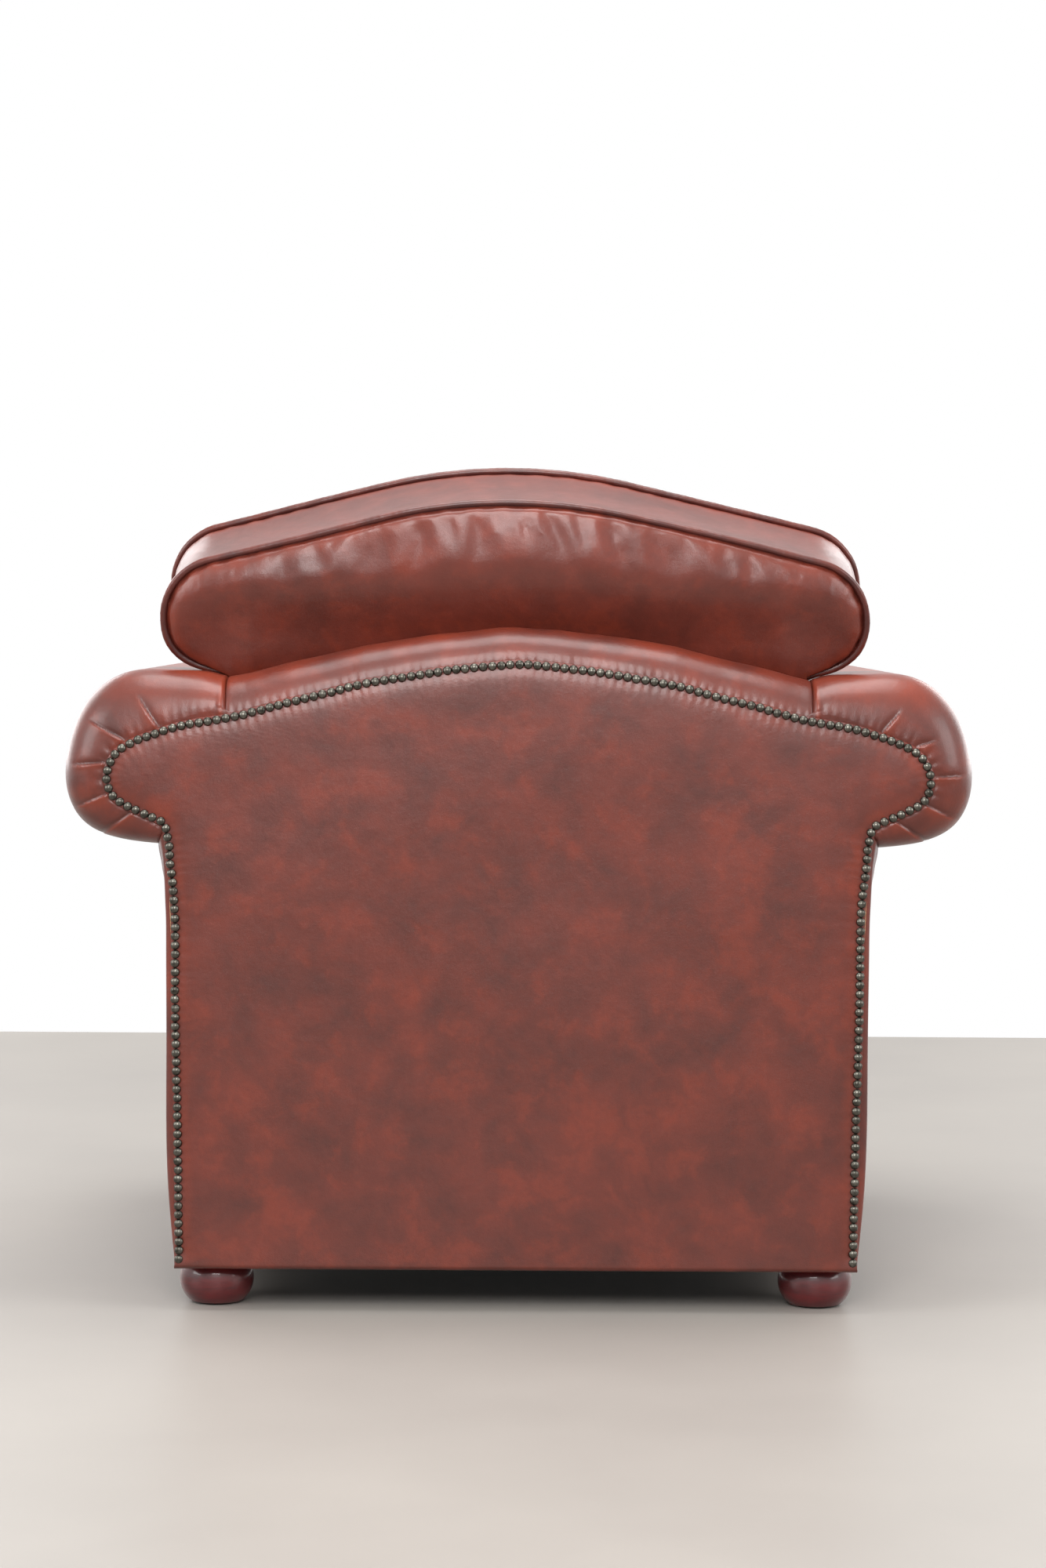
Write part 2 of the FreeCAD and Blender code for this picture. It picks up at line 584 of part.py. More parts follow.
nail = cap(size.nail_radius, size.nail_rise, size.shank_radius, size.shank_length)
back_nails = [facing_to(Vector(p.x, size.back_face + size.panel_thickness, p.z), Vector(0, 1, 0))
              for p in spaced([spline(both_sides(nail_run))], size.nail_pitch)]
rear_nails = at(nail, *back_nails)
feature("back_nails", rear_nails)


def nail_holes(places, reach):
    """The shank holes of a row of nails, for the pieces within a reach of it."""
    shank = cylinder(size.shank_radius, Vector(), Vector(0, 0, -1), size.shank_length)
    return [at(shank, place) for place in places if reach(place.Base)]


def nailed(shape, places, reach=lambda place: True):
    """A shape with the shank holes of its nails."""
    return shape.cut(nail_holes(places, reach))


feature("outside_back_panel", nailed(panel, back_nails))
dowel_holes = dowels.Shape
left_of = lambda place: place.x > size.stem_inner - 10
feature("arm_rear_board_left", nailed(rear_board, back_nails, left_of).cut(dowel_holes))
feature("arm_rear_board_right", nailed(mirror(rear_board), back_nails, lambda p: p.x < 10 - size.stem_inner)
        .cut(dowel_holes))
feature("back_top_rail", nailed(camel_rail, back_nails, lambda p: abs(p.x) < top_x + 10))

# Scroll facings at the front of the arms
facing = prism(board_edges(True), Vector(0, -size.facing_thickness, 0))
facing.translate(Vector(0, size.front_face, 0))
facing_edge = Part.Wire(Part.sortEdges(board_edges(True))[0]).makeOffset2D(-size.facing_nail_inset)
loop = facing_edge.discretize(Number=int(facing_edge.Length / size.nail_pitch) + 1)[:-1]
facing_nails = [facing_to(Vector(p.x, size.front_face - size.facing_thickness, p.z), Vector(0, -1, 0))
                for p in loop]
facing_left = nailed(facing, facing_nails)
pair("arm_facing", facing_left)
front_left = nailed(front_board, facing_nails).cut(dowel_holes)
pair("arm_front_post", front_left)
scroll_nails = at(nail, *facing_nails)
feature("facing_nails", Part.makeCompound([scroll_nails, mirror(scroll_nails)]))

# Front border, sprung deck, dust cover
clip_top = size.spring_rail_top + size.clip_plate + size.spring_wire + size.clip_plate
border = box(-size.stem_inner, size.stem_inner, size.front_face - size.border_thickness, size.front_face,
             size.hem_height, size.deck_top)
border = border.fuse(box(-size.arm_inner, size.arm_inner, size.front_face, size.front_face + size.board, clip_top,
                         size.deck_top))
border = border.cut([arm_outside, mirror(arm_outside), facing, mirror(facing)])
rounded = [edge for edge in border.Edges if abs(edge.BoundBox.YMin - border.BoundBox.YMin) < .01
           and edge.BoundBox.YLength < .01 and edge.BoundBox.XLength > size.arm_inner]
feature("front_border", border.makeFillet(size.border_thickness - 1, rounded))

deck_edges = [(size.front_face + size.board, clip_top), (size.front_face + size.board, size.deck_top),
              (pad_y(size.deck_top), size.deck_top), (pad_y(clip_top), clip_top),
              (size.front_face + size.board, clip_top)]
feature("seat_deck", prism(lines([Vector(-size.arm_inner, y, z) for y, z in deck_edges]),
                           Vector(2 * size.arm_inner, 0, 0)))

cloth = keep(doc.addObject("Part::Cut", "dust_cover"), "dust_cover")
cloth.Base = block("dust_cloth", ("4 - stem_outer", "stem_outer - 4"), ("front_face + 4", "back_face - 4"),
                   ("foot_height - cloth", "foot_height"))
cloth.Tool = doc.addObject("Part::Feature", "foot_clearance")
cloth.Tool.Shape = Part.makeCompound([cylinder(size.foot_radius + 2, Vector(x * size.foot_x, y * size.foot_y, 40),
                                               Vector(0, 0, 1), 20) for x in (-1, 1) for y in (-1, 1)])

# Zigzag springs from the front rail to the stuffing rail, in clips
wire_radius = size.spring_wire / 2
spring_z = size.spring_rail_top + size.clip_plate + wire_radius
spring_start = size.front_face + size.board / 2 - 4
spring_end = stuffing_front + size.board / 2 + 4
legs = int((spring_end - spring_start - size.spring_step) / size.spring_step)
legs -= 1 - legs % 2
bend = size.spring_step / 2
pitch = (spring_end - spring_start) / legs
bend = pitch / 2
straight = size.spring_half - bend
path = []
for i in range(legs):
    sign = 1 if i % 2 else -1
    y = spring_start + wire_radius + i * (spring_end - spring_start - 2 * wire_radius) / legs
    step = (spring_end - spring_start - 2 * wire_radius) / legs
    path += lines([Vector(-sign * straight, y, 0), Vector(sign * straight, y, 0)])
    path.append(arc(Vector(sign * straight, y, 0), Vector(sign * (straight + step / 2), y + step / 2, 0),
                    Vector(sign * straight, y + step, 0)))
last = path[-1].Vertexes[-1].Point
path += lines([last, Vector(-last.x, last.y, 0)])
spine = Part.Wire(path)
start = spine.Edges[0].Vertexes[0].Point
section = Part.Wire([Part.Circle(start, Vector(1, 0, 0), wire_radius).toShape()])
spring = spine.makePipeShell([section], True, False)
columns = [(i - (size.spring_count - 1) / 2) * size.spring_pitch for i in range(int(size.spring_count))]
feature("seat_springs", at(spring, *[Vector(x, 0, spring_z) for x in columns]))

reach = wire_radius + size.clip_plate
clip_half = cylinder(reach, Vector(-size.clip_width / 2, 0, 0), Vector(1, 0, 0), size.clip_width)
clip = clip_half.fuse(box(-size.clip_width / 2, size.clip_width / 2, -reach - 5, reach + 5, -reach,
                          size.clip_plate - reach))
clip = clip.cut(cylinder(wire_radius, Vector(-size.clip_width, 0, 0), Vector(1, 0, 0), 2 * size.clip_width))
spring_ends = (spring_start + wire_radius, spring_end - wire_radius)
feature("spring_clips", at(clip, *[Vector(x, y, spring_z) for x in columns for y in spring_ends]))

# Feet, with hanger bolts into tee nuts in the corner blocks
block_top = size.foot_height + size.block_height
nut = cylinder(size.nut_radius, up * (block_top - size.nut_barrel), up, size.nut_barrel)
nut = nut.fuse(cylinder(size.nut_flange, up * block_top, up, size.nut_plate))
nut = nut.cut(cylinder(size.bolt_radius, Vector(), up, 200))
foot_axes = [Vector(x * size.foot_x, y * size.foot_y, 0) for x, y in corners]
feature("tee_nuts", at(nut, *foot_axes))


def round_parts(label, radius, low, length):
    """Cylinders bound to the sheet, one on each foot's axis, as one sub-part."""
    links = []
    for i, (x, y) in enumerate(corners):
        item = doc.addObject("Part::Cylinder", f"{label}_{i + 1}")
        item.setExpression("Radius", bound(radius))
        item.setExpression("Height", bound(length))
        for axis, text in (("x", f"{x} * foot_x"), ("y", f"{y} * foot_y"), ("z", low)):
            item.setExpression("Placement.Base." + axis, bound(text))
        links.append(item)
    group = doc.addObject("Part::Compound", label)
    group.Links = links
    return keep(group, label)


round_parts("hanger_bolts", "bolt_radius", "bolt_low", "bolt_high - bolt_low")
round_parts("foot_glides", "glide_radius", "0 * cloth", "glide_thickness")


def foot_body(label, x, y):
    """A turned bun foot: a sketch revolved about the foot's axis."""
    body = doc.addObject("PartDesign::Body", label)
    plane = next(part for part in body.Origin.OriginFeatures if part.Role == "XZ_Plane")
    sketch = body.newObject("Sketcher::SketchObject", label + "_profile")
    sketch.AttachmentSupport, sketch.MapMode = [(plane, "")], "FlatFace"
    low, high, mid = size.glide_thickness, size.foot_height, 24
    outline = [(0, size.bolt_low), (0, low), (size.foot_base, low), (size.foot_neck, high), (size.bolt_radius, high),
               (size.bolt_radius, size.bolt_low)]
    points = [Vector(r, z, 0) for r, z in outline]
    for i in (0, 1, 3, 4, 5):
        sketch.addGeometry(Part.LineSegment(points[i], points[(i + 1) % 6]), False)
    sketch.addGeometry(Part.Arc(points[2], Vector(size.foot_radius, mid, 0), points[3]), False)
    turn = body.newObject("PartDesign::Revolution", label + "_turned")
    turn.Profile = sketch
    turn.ReferenceAxis = (sketch, ["V_Axis"])
    turn.Angle = 360
    body.Tip = turn
    body.setExpression("Placement.Base.x", bound(f"{x} * foot_x"))
    body.setExpression("Placement.Base.y", bound(f"{y} * foot_y"))
    return keep(body, label)


for side, x in (("left", 1), ("right", -1)):
    for end, y in (("front", -1), ("rear", 1)):
        foot_body(f"foot_{end}_{side}", x, y)


# Loose cushions: outlines of lines and arcs, lofted into a border between two pipings and two crowns
def rounded_outline(corners, inset):
    """Edges of a closed outline in the XY plane: corners (x, y, radius) in clockwise order, set in."""
    count = len(corners)
    points = [Vector(x, y, 0) for x, y, radius in corners]
    moved = []
    for i in range(count):
        before, here, after = points[i - 1], points[i], points[(i + 1) % count]
        first, second = (here - before).normalize(), (after - here).normalize()
        normal = Vector(first.y, -first.x, 0)
        turn = normal + Vector(second.y, -second.x, 0)
        moved.append(here + turn * (inset / (turn.Length ** 2 / 2)))
    edges, ends = [], []
    for i in range(count):
        before, here, after = moved[i - 1], moved[i], moved[(i + 1) % count]
        first, second = (before - here).normalize(), (after - here).normalize()
        convex = (here - before).cross(after - here).z < 0
        radius = corners[i][2] - inset if convex else corners[i][2] + inset
        half = first.getAngle(second) / 2
        reach = radius / math.tan(half)
        middle = here + (first + second).normalize() * (radius / math.sin(half) - radius)
        ends.append((here + first * reach, middle, here + second * reach))
    for i in range(count):
        edges.append(arc(*ends[i]))
        edges.append(Part.LineSegment(ends[i][2], ends[(i + 1) % count][0]).toShape())
    return edges


def scaled(edge, centre, share):
    """A line or an arc drawn towards a centre."""
    first, last = edge.FirstParameter, edge.LastParameter
    points = [centre + (edge.valueAt(at) - centre) * share for at in (first, (first + last) / 2, last)]
    return arc(*points) if isinstance(edge.Curve, Part.Circle) else lines([points[0], points[2]])[0]


CROWN = [(1, 0), (.978, .26), (.945, .5), (.895, .7), (.82, .85), (.72, .94), (.58, .985), (.42, 1)]
SOLE = [(1, 0), (.99, .5), (.97, .85), (.94, 1)]


def crown(edges, centre, base, rise, profile):
    """A crown over an outline: sections that draw in towards a centre as they rise."""
    sections = []
    for share, height in profile:
        wire = Part.Wire([scaled(edge, centre, share) for edge in edges])
        wire.translate(Vector(0, 0, base + rise * height))
        sections.append(wire)
    return Part.makeLoft(sections, True, True)


def cushion_form(outline, centre, low, high, inset, low_rise, high_rise, profile=CROWN):
    """A boxed cushion between two piping planes, its border drawn in between them and both faces crowned."""
    middle = (low + high) / 2
    border = []
    for plane, draw in ((low, 0), (middle, size.draw_in), (high, 0)):
        wire = Part.Wire(rounded_outline(outline(plane), inset + draw))
        wire.translate(Vector(0, 0, plane))
        border.append(wire)
    body = Part.makeLoft(border, True, False)
    under = crown(rounded_outline(outline(low), inset), centre, low, inset - low_rise, profile)
    over = crown(rounded_outline(outline(high), inset), centre, high, high_rise - inset, CROWN)
    return body.fuse([under, over])


def piping(outline, plane):
    """Piping along an outline's edge, in the plane of the seam."""
    edges = rounded_outline(outline(plane), 0)
    path = Part.Wire(edges)
    path.translate(Vector(0, 0, plane))
    start = path.Edges[1].valueAt(path.Edges[1].FirstParameter)
    along = path.Edges[1].tangentAt(path.Edges[1].FirstParameter)
    run = Part.Wire(path.Edges[1:] + path.Edges[:1])
    return run.makePipeShell([Part.Wire([Part.Circle(start, along, size.piping_radius).toShape()])], True, False)


def zip_slider():
    """A zip slider on the XY plane that travels along X, its pull laid along +Y."""
    half, wide, high = size.slider_length / 2, size.slider_width / 2, size.slider_height
    shape = box(-half, half, -wide, wide, 0, high)
    shape = shape.makeFillet(1, [edge for edge in shape.Edges if edge.BoundBox.ZMin > high - .01])
    return shape.fuse(box(-3, 3, 0, size.pull_length, high - .2, high + .8))


# Seat cushion, on the deck between the arms
def seat_outline(plane):
    """Corners of the seat cushion."""
    x, front, back, radius = size.seat_half, size.seat_front, size.seat_back, size.seat_corner
    return [(-x, front, radius), (-x, back, radius), (x, back, radius), (x, front, radius)]


seat_middle = Vector(0, 60, 0)
seat_planes = size.seat_low_piping, size.seat_high_piping
seat_sink = size.seat_low_piping - size.deck_top - size.gap
seat_form = cushion_form(seat_outline, seat_middle, *seat_planes, 0, seat_sink, size.seat_crown, SOLE)
seat_fill = cushion_form(seat_outline, seat_middle, *seat_planes, size.leather, seat_sink, size.seat_crown,
                         SOLE)
seat_pipings = [piping(seat_outline, plane) for plane in seat_planes]
seat_zip_z = (size.seat_low_piping + size.seat_high_piping) / 2
seat_zip_y = size.seat_back - size.draw_in
seat_zip = box(-size.zip_length / 2, size.zip_length / 2, seat_zip_y - size.zip_tape / 2,
               seat_zip_y + size.zip_tape / 2, seat_zip_z - size.zip_width / 2, seat_zip_z + size.zip_width / 2)
feature("seat_cushion_cover", seat_form.cut([seat_fill, seat_zip] + seat_pipings))
feature("seat_cushion_core", seat_fill.cut([seat_zip] + seat_pipings))
feature("seat_cushion_piping", Part.makeCompound(seat_pipings))
feature("seat_zip", seat_zip)
slider_place = Placement(Vector(size.zip_travel / 2, seat_zip_y + size.zip_tape / 2 + size.gap, seat_zip_z),
                         Rotation(Vector(1, 0, 0), -90))
feature("seat_zip_slider", at(zip_slider(), slider_place))

# Back cushion: its own plane leans with the inside back, and its ears lie over the arms
leaning = Placement(Vector(0, size.back_face - size.cushion_setback, size.cushion_top),
                    Rotation(Vector(1, 0, 0), 90 - size.back_tilt))


def up_slope(z, plane):
    """Distance up the cushion's own plane of a height above the floor."""
    return (z - size.cushion_top - plane * math.sin(tilt)) / math.cos(tilt)


def back_outline(plane):
    """Corners of the back cushion, with a bottom edge that stays level."""
    neck, armpit, reach = size.cushion_neck, size.cushion_armpit, size.cushion_reach
    waist, ear, shoulder, peak = (up_slope(z, 0) for z in (size.cushion_waist, size.cushion_ear,
                                                           size.cushion_shoulder, size.cushion_peak))
    fall = math.atan2(peak - shoulder, reach)
    half = [(neck, up_slope(size.cushion_bottom, plane), 22), (neck, waist, 40), (armpit, ear, 24),
            (reach, ear, 45), (reach, shoulder, 70)]
    left = [(-x, y, radius) for x, y, radius in half]
    return left + [(0, peak, peak / (1 / math.cos(fall) - 1))] + half[::-1]


cushion_middle = Vector(0, up_slope(762, 0), 0)
cushion_planes = 0, size.cushion_thickness


def cushion_rest(clear):
    """What the back cushion is pressed against: the inside back and the roll, with a clearance."""
    roof = up_slope(size.camel_top + size.back_roll_rise - 11, 0)
    back = box(-500, 500, -700, roof, -100, clear - size.cushion_press)
    back.Placement = leaning.multiply(back.Placement)
    roll = back_roll.copy()
    roll.translate(Vector(0, -clear, clear))
    return [back, roll]


back_form = cushion_form(back_outline, cushion_middle, *cushion_planes, 0, size.cushion_crown, size.cushion_crown)
back_fill = cushion_form(back_outline, cushion_middle, *cushion_planes, size.leather, size.cushion_crown,
                         size.cushion_crown)
cushion_tufts = []
for row in range(4):
    columns = 4 if row % 2 == 0 else 3
    for column in range(columns):
        x = (column - (columns - 1) / 2) * size.cushion_button_pitch
        y = -size.cushion_row_first - row * size.cushion_row_pitch
        ray = Part.makeLine(Vector(x, y, size.cushion_thickness / 2), Vector(x, y, 2 * size.cushion_thickness))
        cushion_tufts.append(Vector(x, y, back_form.common(ray).BoundBox.ZMax))
normal = Vector(0, 0, 1)
back_form = back_form.cut([tuft(place, normal, 0) for place in cushion_tufts])
back_fill = back_fill.cut([tuft(place, normal, size.leather) for place in cushion_tufts])
back_pipings = [piping(back_outline, plane) for plane in cushion_planes]
for shape in (back_form, back_fill, *back_pipings):
    shape.Placement = leaning.multiply(shape.Placement)
back_form = back_form.cut(cushion_rest(size.gap))
back_fill = back_fill.cut(cushion_rest(size.gap + size.leather))
back_zip_y = size.back_face - size.cushion_setback - (size.cushion_top - size.cushion_bottom) * math.tan(tilt) - 18
back_zip_z = size.cushion_bottom + 1
back_zip = box(-size.zip_length / 2, size.zip_length / 2, back_zip_y - size.zip_width / 2,
               back_zip_y + size.zip_width / 2, back_zip_z, back_zip_z + size.zip_tape)
feature("back_cushion_cover", back_form.cut([back_fill, back_zip] + back_pipings))
feature("back_cushion_core", back_fill.cut([back_zip] + back_pipings))
feature("back_cushion_piping", Part.makeCompound(back_pipings))
feature("back_zip", back_zip)
slider_place = Placement(Vector(size.zip_travel / 2, back_zip_y, back_zip_z - size.gap),
                         Rotation(Vector(1, 0, 0), 180))
feature("back_zip_slider", at(zip_slider(), slider_place))
seats = [leaning.multiply(facing_to(place - normal * size.tuft_depth, normal)) for place in cushion_tufts]
feature("back_cushion_buttons", at(button_cap, *seats))

# Checks and one STEP file for each sub-part
doc.recompute()
for item in doc.Objects:
    if {"Invalid", "Error"} & set(item.State):
        raise RuntimeError(f"{item.Label}: {item.State}")
for item in subparts:
    if item.Shape.isNull() or not item.Shape.isValid():
        raise RuntimeError(f"{item.Label}: no valid shape")
os.makedirs("parts", exist_ok=True)
for item in subparts:
    item.Shape.exportStep(f"parts/{item.Label}.step")
print(f"{len(subparts)} sub-parts")
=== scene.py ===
# %% [markdown]
# # A chesterfield armchair, seen from behind
#
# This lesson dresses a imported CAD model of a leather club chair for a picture. The CAD holds the frame, the
# boards, the nails and plain solids for everything soft. Here each soft piece gets its leather: rolled and
# pleated arms, a nailed back, and two loose cushions with piping. Lengths in the tables are millimetres, as on
# an upholsterer's pattern, and one helper turns them to Blender's metres.

# %% Load the frame
import bpy
import bmesh
import json
import math
import numpy as np
from mathutils import Matrix, Vector

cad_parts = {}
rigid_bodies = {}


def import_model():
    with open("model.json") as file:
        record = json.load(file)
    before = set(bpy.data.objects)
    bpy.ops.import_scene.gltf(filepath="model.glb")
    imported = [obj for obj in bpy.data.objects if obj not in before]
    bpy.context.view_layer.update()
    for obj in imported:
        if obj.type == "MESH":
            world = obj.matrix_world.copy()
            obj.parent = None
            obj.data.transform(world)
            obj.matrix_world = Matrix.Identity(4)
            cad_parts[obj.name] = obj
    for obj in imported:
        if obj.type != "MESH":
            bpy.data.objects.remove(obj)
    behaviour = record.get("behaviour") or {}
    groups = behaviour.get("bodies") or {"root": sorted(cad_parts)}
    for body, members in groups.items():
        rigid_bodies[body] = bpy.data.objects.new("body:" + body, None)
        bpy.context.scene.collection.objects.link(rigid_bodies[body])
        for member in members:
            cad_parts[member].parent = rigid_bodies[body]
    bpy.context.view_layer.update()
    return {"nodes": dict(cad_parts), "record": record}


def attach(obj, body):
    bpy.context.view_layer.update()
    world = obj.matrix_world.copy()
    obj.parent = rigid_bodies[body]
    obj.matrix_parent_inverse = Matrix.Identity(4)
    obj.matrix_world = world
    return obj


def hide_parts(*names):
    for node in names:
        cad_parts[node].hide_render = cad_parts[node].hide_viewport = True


for leftover in list(bpy.data.objects):
    bpy.data.objects.remove(leftover)
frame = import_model()

# %% [markdown]
# ## Materials
#
# The hide is antiqued: a light red-brown ground is sprayed dark, and the dark coat is rubbed back where hands and
# clothes would wear it. So the colour has three parts: a ground, soft dark clouds a hand wide, and red highs on
# the crests. A mesh attribute on each piece says where the crests are, because only the maker of a piece knows
# that: 1 is a rubbed crest and -1 a crease that kept its dark wax. The same attribute also carries painted light:
# painted highlights on tops, folds and seams lift the colour like a rubbed crest, and painted shade in folds and
# seams darkens it like a waxed crease.

# %% Colours and a node helper
def linear(hex_colour):
    """An sRGB hex colour as linear RGBA."""
    parts = [int(hex_colour[i:i + 2], 16) / 255 for i in (1, 3, 5)]
    return tuple(((p + 0.055) / 1.055) ** 2.4 if p > 0.04045 else p / 12.92 for p in parts) + (1.0,)


print("red-brown as linear light:", [round(part, 3) for part in linear("#6b2c20")])


def add(tree, kind, settings=None, stops=(), **inputs):
    """Adds a node, with its settings, its ramp's stops and its inputs: values, or another node's output."""
    made = tree.nodes.new(kind)
    for name, value in (settings or {}).items():
        setattr(made, name, value)
    for number, (position, colour) in enumerate(stops):
        if number >= len(made.color_ramp.elements):
            made.color_ramp.elements.new(position)
        made.color_ramp.elements[number].position = position
        made.color_ramp.elements[number].color = linear(colour) if isinstance(colour, str) else (*[colour] * 3, 1)
    for name, value in inputs.items():
        socket = made.inputs[int(name[1:])] if name[0] == "_" and name[1:].isdigit() else made.inputs[
            name.replace("_", " ")]
        if isinstance(value, bpy.types.NodeSocket):
            tree.links.new(value, socket)
        else:
            socket.default_value = value
    return made


def new_material(name):
    """An empty node material, with its tree and its output node."""
    material = bpy.data.materials.new(name)
    material.use_nodes = True
    material.node_tree.nodes.clear()
    return material, material.node_tree

# %% [markdown]
# Chrome-tanned cowhide with an antique finish: the wax makes it shine softly, so its roughness is around 0.35, and a
# thin clear coat lies on top. The clouds are about 35 to 50 mm across, with a finer mottling of 17 mm in them. Under
# a lens the grain is pebbles of less than a millimetre. That is too fine for this picture, so they are drawn at
# 1.6 mm. An image of leather could be wrapped on instead, but it would repeat and stretch on the pleats.

# %% Antiqued leather
def antique_leather(name, ground, dark, high, cloud_mm=34, gloss=0.31):
    """Leather with dark clouds, rubbed highs, painted highlights and shade, and a pebbled grain."""
    material, tree = new_material(name)
    place = add(tree, "ShaderNodeTexCoord").outputs["Object"]
    clouds = add(tree, "ShaderNodeTexNoise", {"noise_dimensions": "3D"}, Vector=place, Scale=1000 / cloud_mm / 2,
                 Detail=5.0, Roughness=0.62, Distortion=0.35)
    mottle = add(tree, "ShaderNodeTexNoise", {"noise_dimensions": "3D"}, Vector=place, Scale=1000 / 17 / 2,
                 Detail=4.0, Roughness=0.62, Distortion=0.2)
    cloud = add(tree, "ShaderNodeValToRGB", stops=[(0.36, 0.0), (0.68, 1.0)], Fac=clouds.outputs["Fac"])
    speck = add(tree, "ShaderNodeValToRGB", stops=[(0.36, 0.0), (0.66, 1.0)], Fac=mottle.outputs["Fac"])
    worn_and_lit = add(tree, "ShaderNodeAttribute", {"attribute_name": "wear_and_painted_light"}).outputs["Fac"]
    amount = add(tree, "ShaderNodeMath", {"operation": "MULTIPLY_ADD"}, _0=speck.outputs[0], _1=0.45,
                 _2=cloud.outputs[0])
    amount = add(tree, "ShaderNodeMath", {"operation": "MULTIPLY"}, _0=amount.outputs[0], _1=0.5)
    sprayed = add(tree, "ShaderNodeMixRGB", {"blend_type": "MIX"}, Fac=amount.outputs[0], Color1=linear(ground),
                  Color2=linear(dark))
    glow = add(tree, "ShaderNodeValToRGB", stops=[(0.30, 0.16), (0.47, 0.0)], Fac=mottle.outputs["Fac"])
    body = add(tree, "ShaderNodeMixRGB", {"blend_type": "MIX"}, Fac=glow.outputs[0], Color1=sprayed.outputs[0],
               Color2=linear(high))
    # Lift towards the red high: rubbed wear on crests, and painted highlights.
    rubbed_and_highlit = add(tree, "ShaderNodeMath", {"operation": "MULTIPLY", "use_clamp": True}, _0=worn_and_lit, _1=0.85)
    lifted = add(tree, "ShaderNodeMixRGB", {"blend_type": "MIX"}, Fac=rubbed_and_highlit.outputs[0],
                 Color1=body.outputs[0], Color2=linear(high))
    # Darken towards near black: dark wax kept in creases, and painted shade.
    crease = add(tree, "ShaderNodeMath", {"operation": "MULTIPLY", "use_clamp": True}, _0=worn_and_lit, _1=-0.8)
    colour = add(tree, "ShaderNodeMixRGB", {"blend_type": "MIX"}, Fac=crease.outputs[0],
                 Color1=lifted.outputs[0], Color2=linear("#200c0a"))
    grain = add(tree, "ShaderNodeTexVoronoi", {"feature": "DISTANCE_TO_EDGE"}, Vector=place, Scale=1000 / 1.6,
                Randomness=1.0)
    pebble = add(tree, "ShaderNodeValToRGB", stops=[(0.0, 0.0), (0.09, 0.75), (0.4, 1.0)],
                 Fac=grain.outputs["Distance"])
    stretch = add(tree, "ShaderNodeTexNoise", {"noise_dimensions": "3D"}, Vector=place, Scale=1000 / 24, Detail=5.0,
                  Roughness=0.62)
    fine = add(tree, "ShaderNodeBump", Strength=0.16, Distance=0.0005, Height=pebble.outputs[0])
    bump = add(tree, "ShaderNodeBump", Strength=0.3, Distance=0.0022, Height=stretch.outputs["Fac"],
               Normal=fine.outputs[0])
    rough = add(tree, "ShaderNodeMapRange", Value=mottle.outputs["Fac"], _3=gloss - 0.05, _4=gloss + 0.12)
    shader = add(tree, "ShaderNodeBsdfPrincipled", Base_Color=colour.outputs[0], Roughness=rough.outputs[0],
                 Normal=bump.outputs[0], IOR=1.45)
    shader.inputs["Coat Weight"].default_value = 0.2
    shader.inputs["Coat Roughness"].default_value = 0.18
    add(tree, "ShaderNodeOutputMaterial", Surface=shader.outputs[0])
    return material


# Cowhide, sprayed and rubbed: a warm red-brown with soft dark clouds and an even, waxy sheen.
leather = antique_leather("antiqued_cowhide", "#6b2c20", "#3c1c17", "#983b20")
# The cushions' hide is softer and more often rubbed: larger clouds, and a little more shine.
cushion_leather = antique_leather("antiqued_cowhide_cushion", "#6f2e22", "#431d17", "#943a20", cloud_mm=48, gloss=0.3)
# Piping is wrapped from darker strips, so each seam reads as a fine dark line.
welt_leather = antique_leather("antiqued_cowhide_welt", "#56211a", "#301311", "#7c3322", cloud_mm=40)

print("leathers:", leather.name, cushion_leather.name, welt_leather.name)

# %% [markdown]
# The hard finishes are simpler. Upholstery nails are pressed brass with a gunmetal antiquing that is dark in the
# valleys. The feet are beech, stained mahogany and lacquered, so the grain shows through a clear coat. Each function
# makes one kind of stuff, and the colours and sizes are given where it is used.

# %% Metal, wood and cloth
def metal(name, colour, roughness, spots):
    """A worked metal whose tarnish comes and goes over a few millimetres."""
    material, tree = new_material(name)
    place = add(tree, "ShaderNodeTexCoord").outputs["Object"]
    tarnish = add(tree, "ShaderNodeTexNoise", Vector=place, Scale=1000 / 9, Detail=4.0, Roughness=0.6)
    shade = add(tree, "ShaderNodeValToRGB", stops=[(0.3, spots), (0.7, colour)], Fac=tarnish.outputs["Fac"])
    rough = add(tree, "ShaderNodeMapRange", Value=tarnish.outputs["Fac"], _3=roughness + 0.12, _4=roughness - 0.06)
    shader = add(tree, "ShaderNodeBsdfPrincipled", Base_Color=shade.outputs[0], Roughness=rough.outputs[0],
                 Metallic=1.0)
    add(tree, "ShaderNodeOutputMaterial", Surface=shader.outputs[0])
    return material


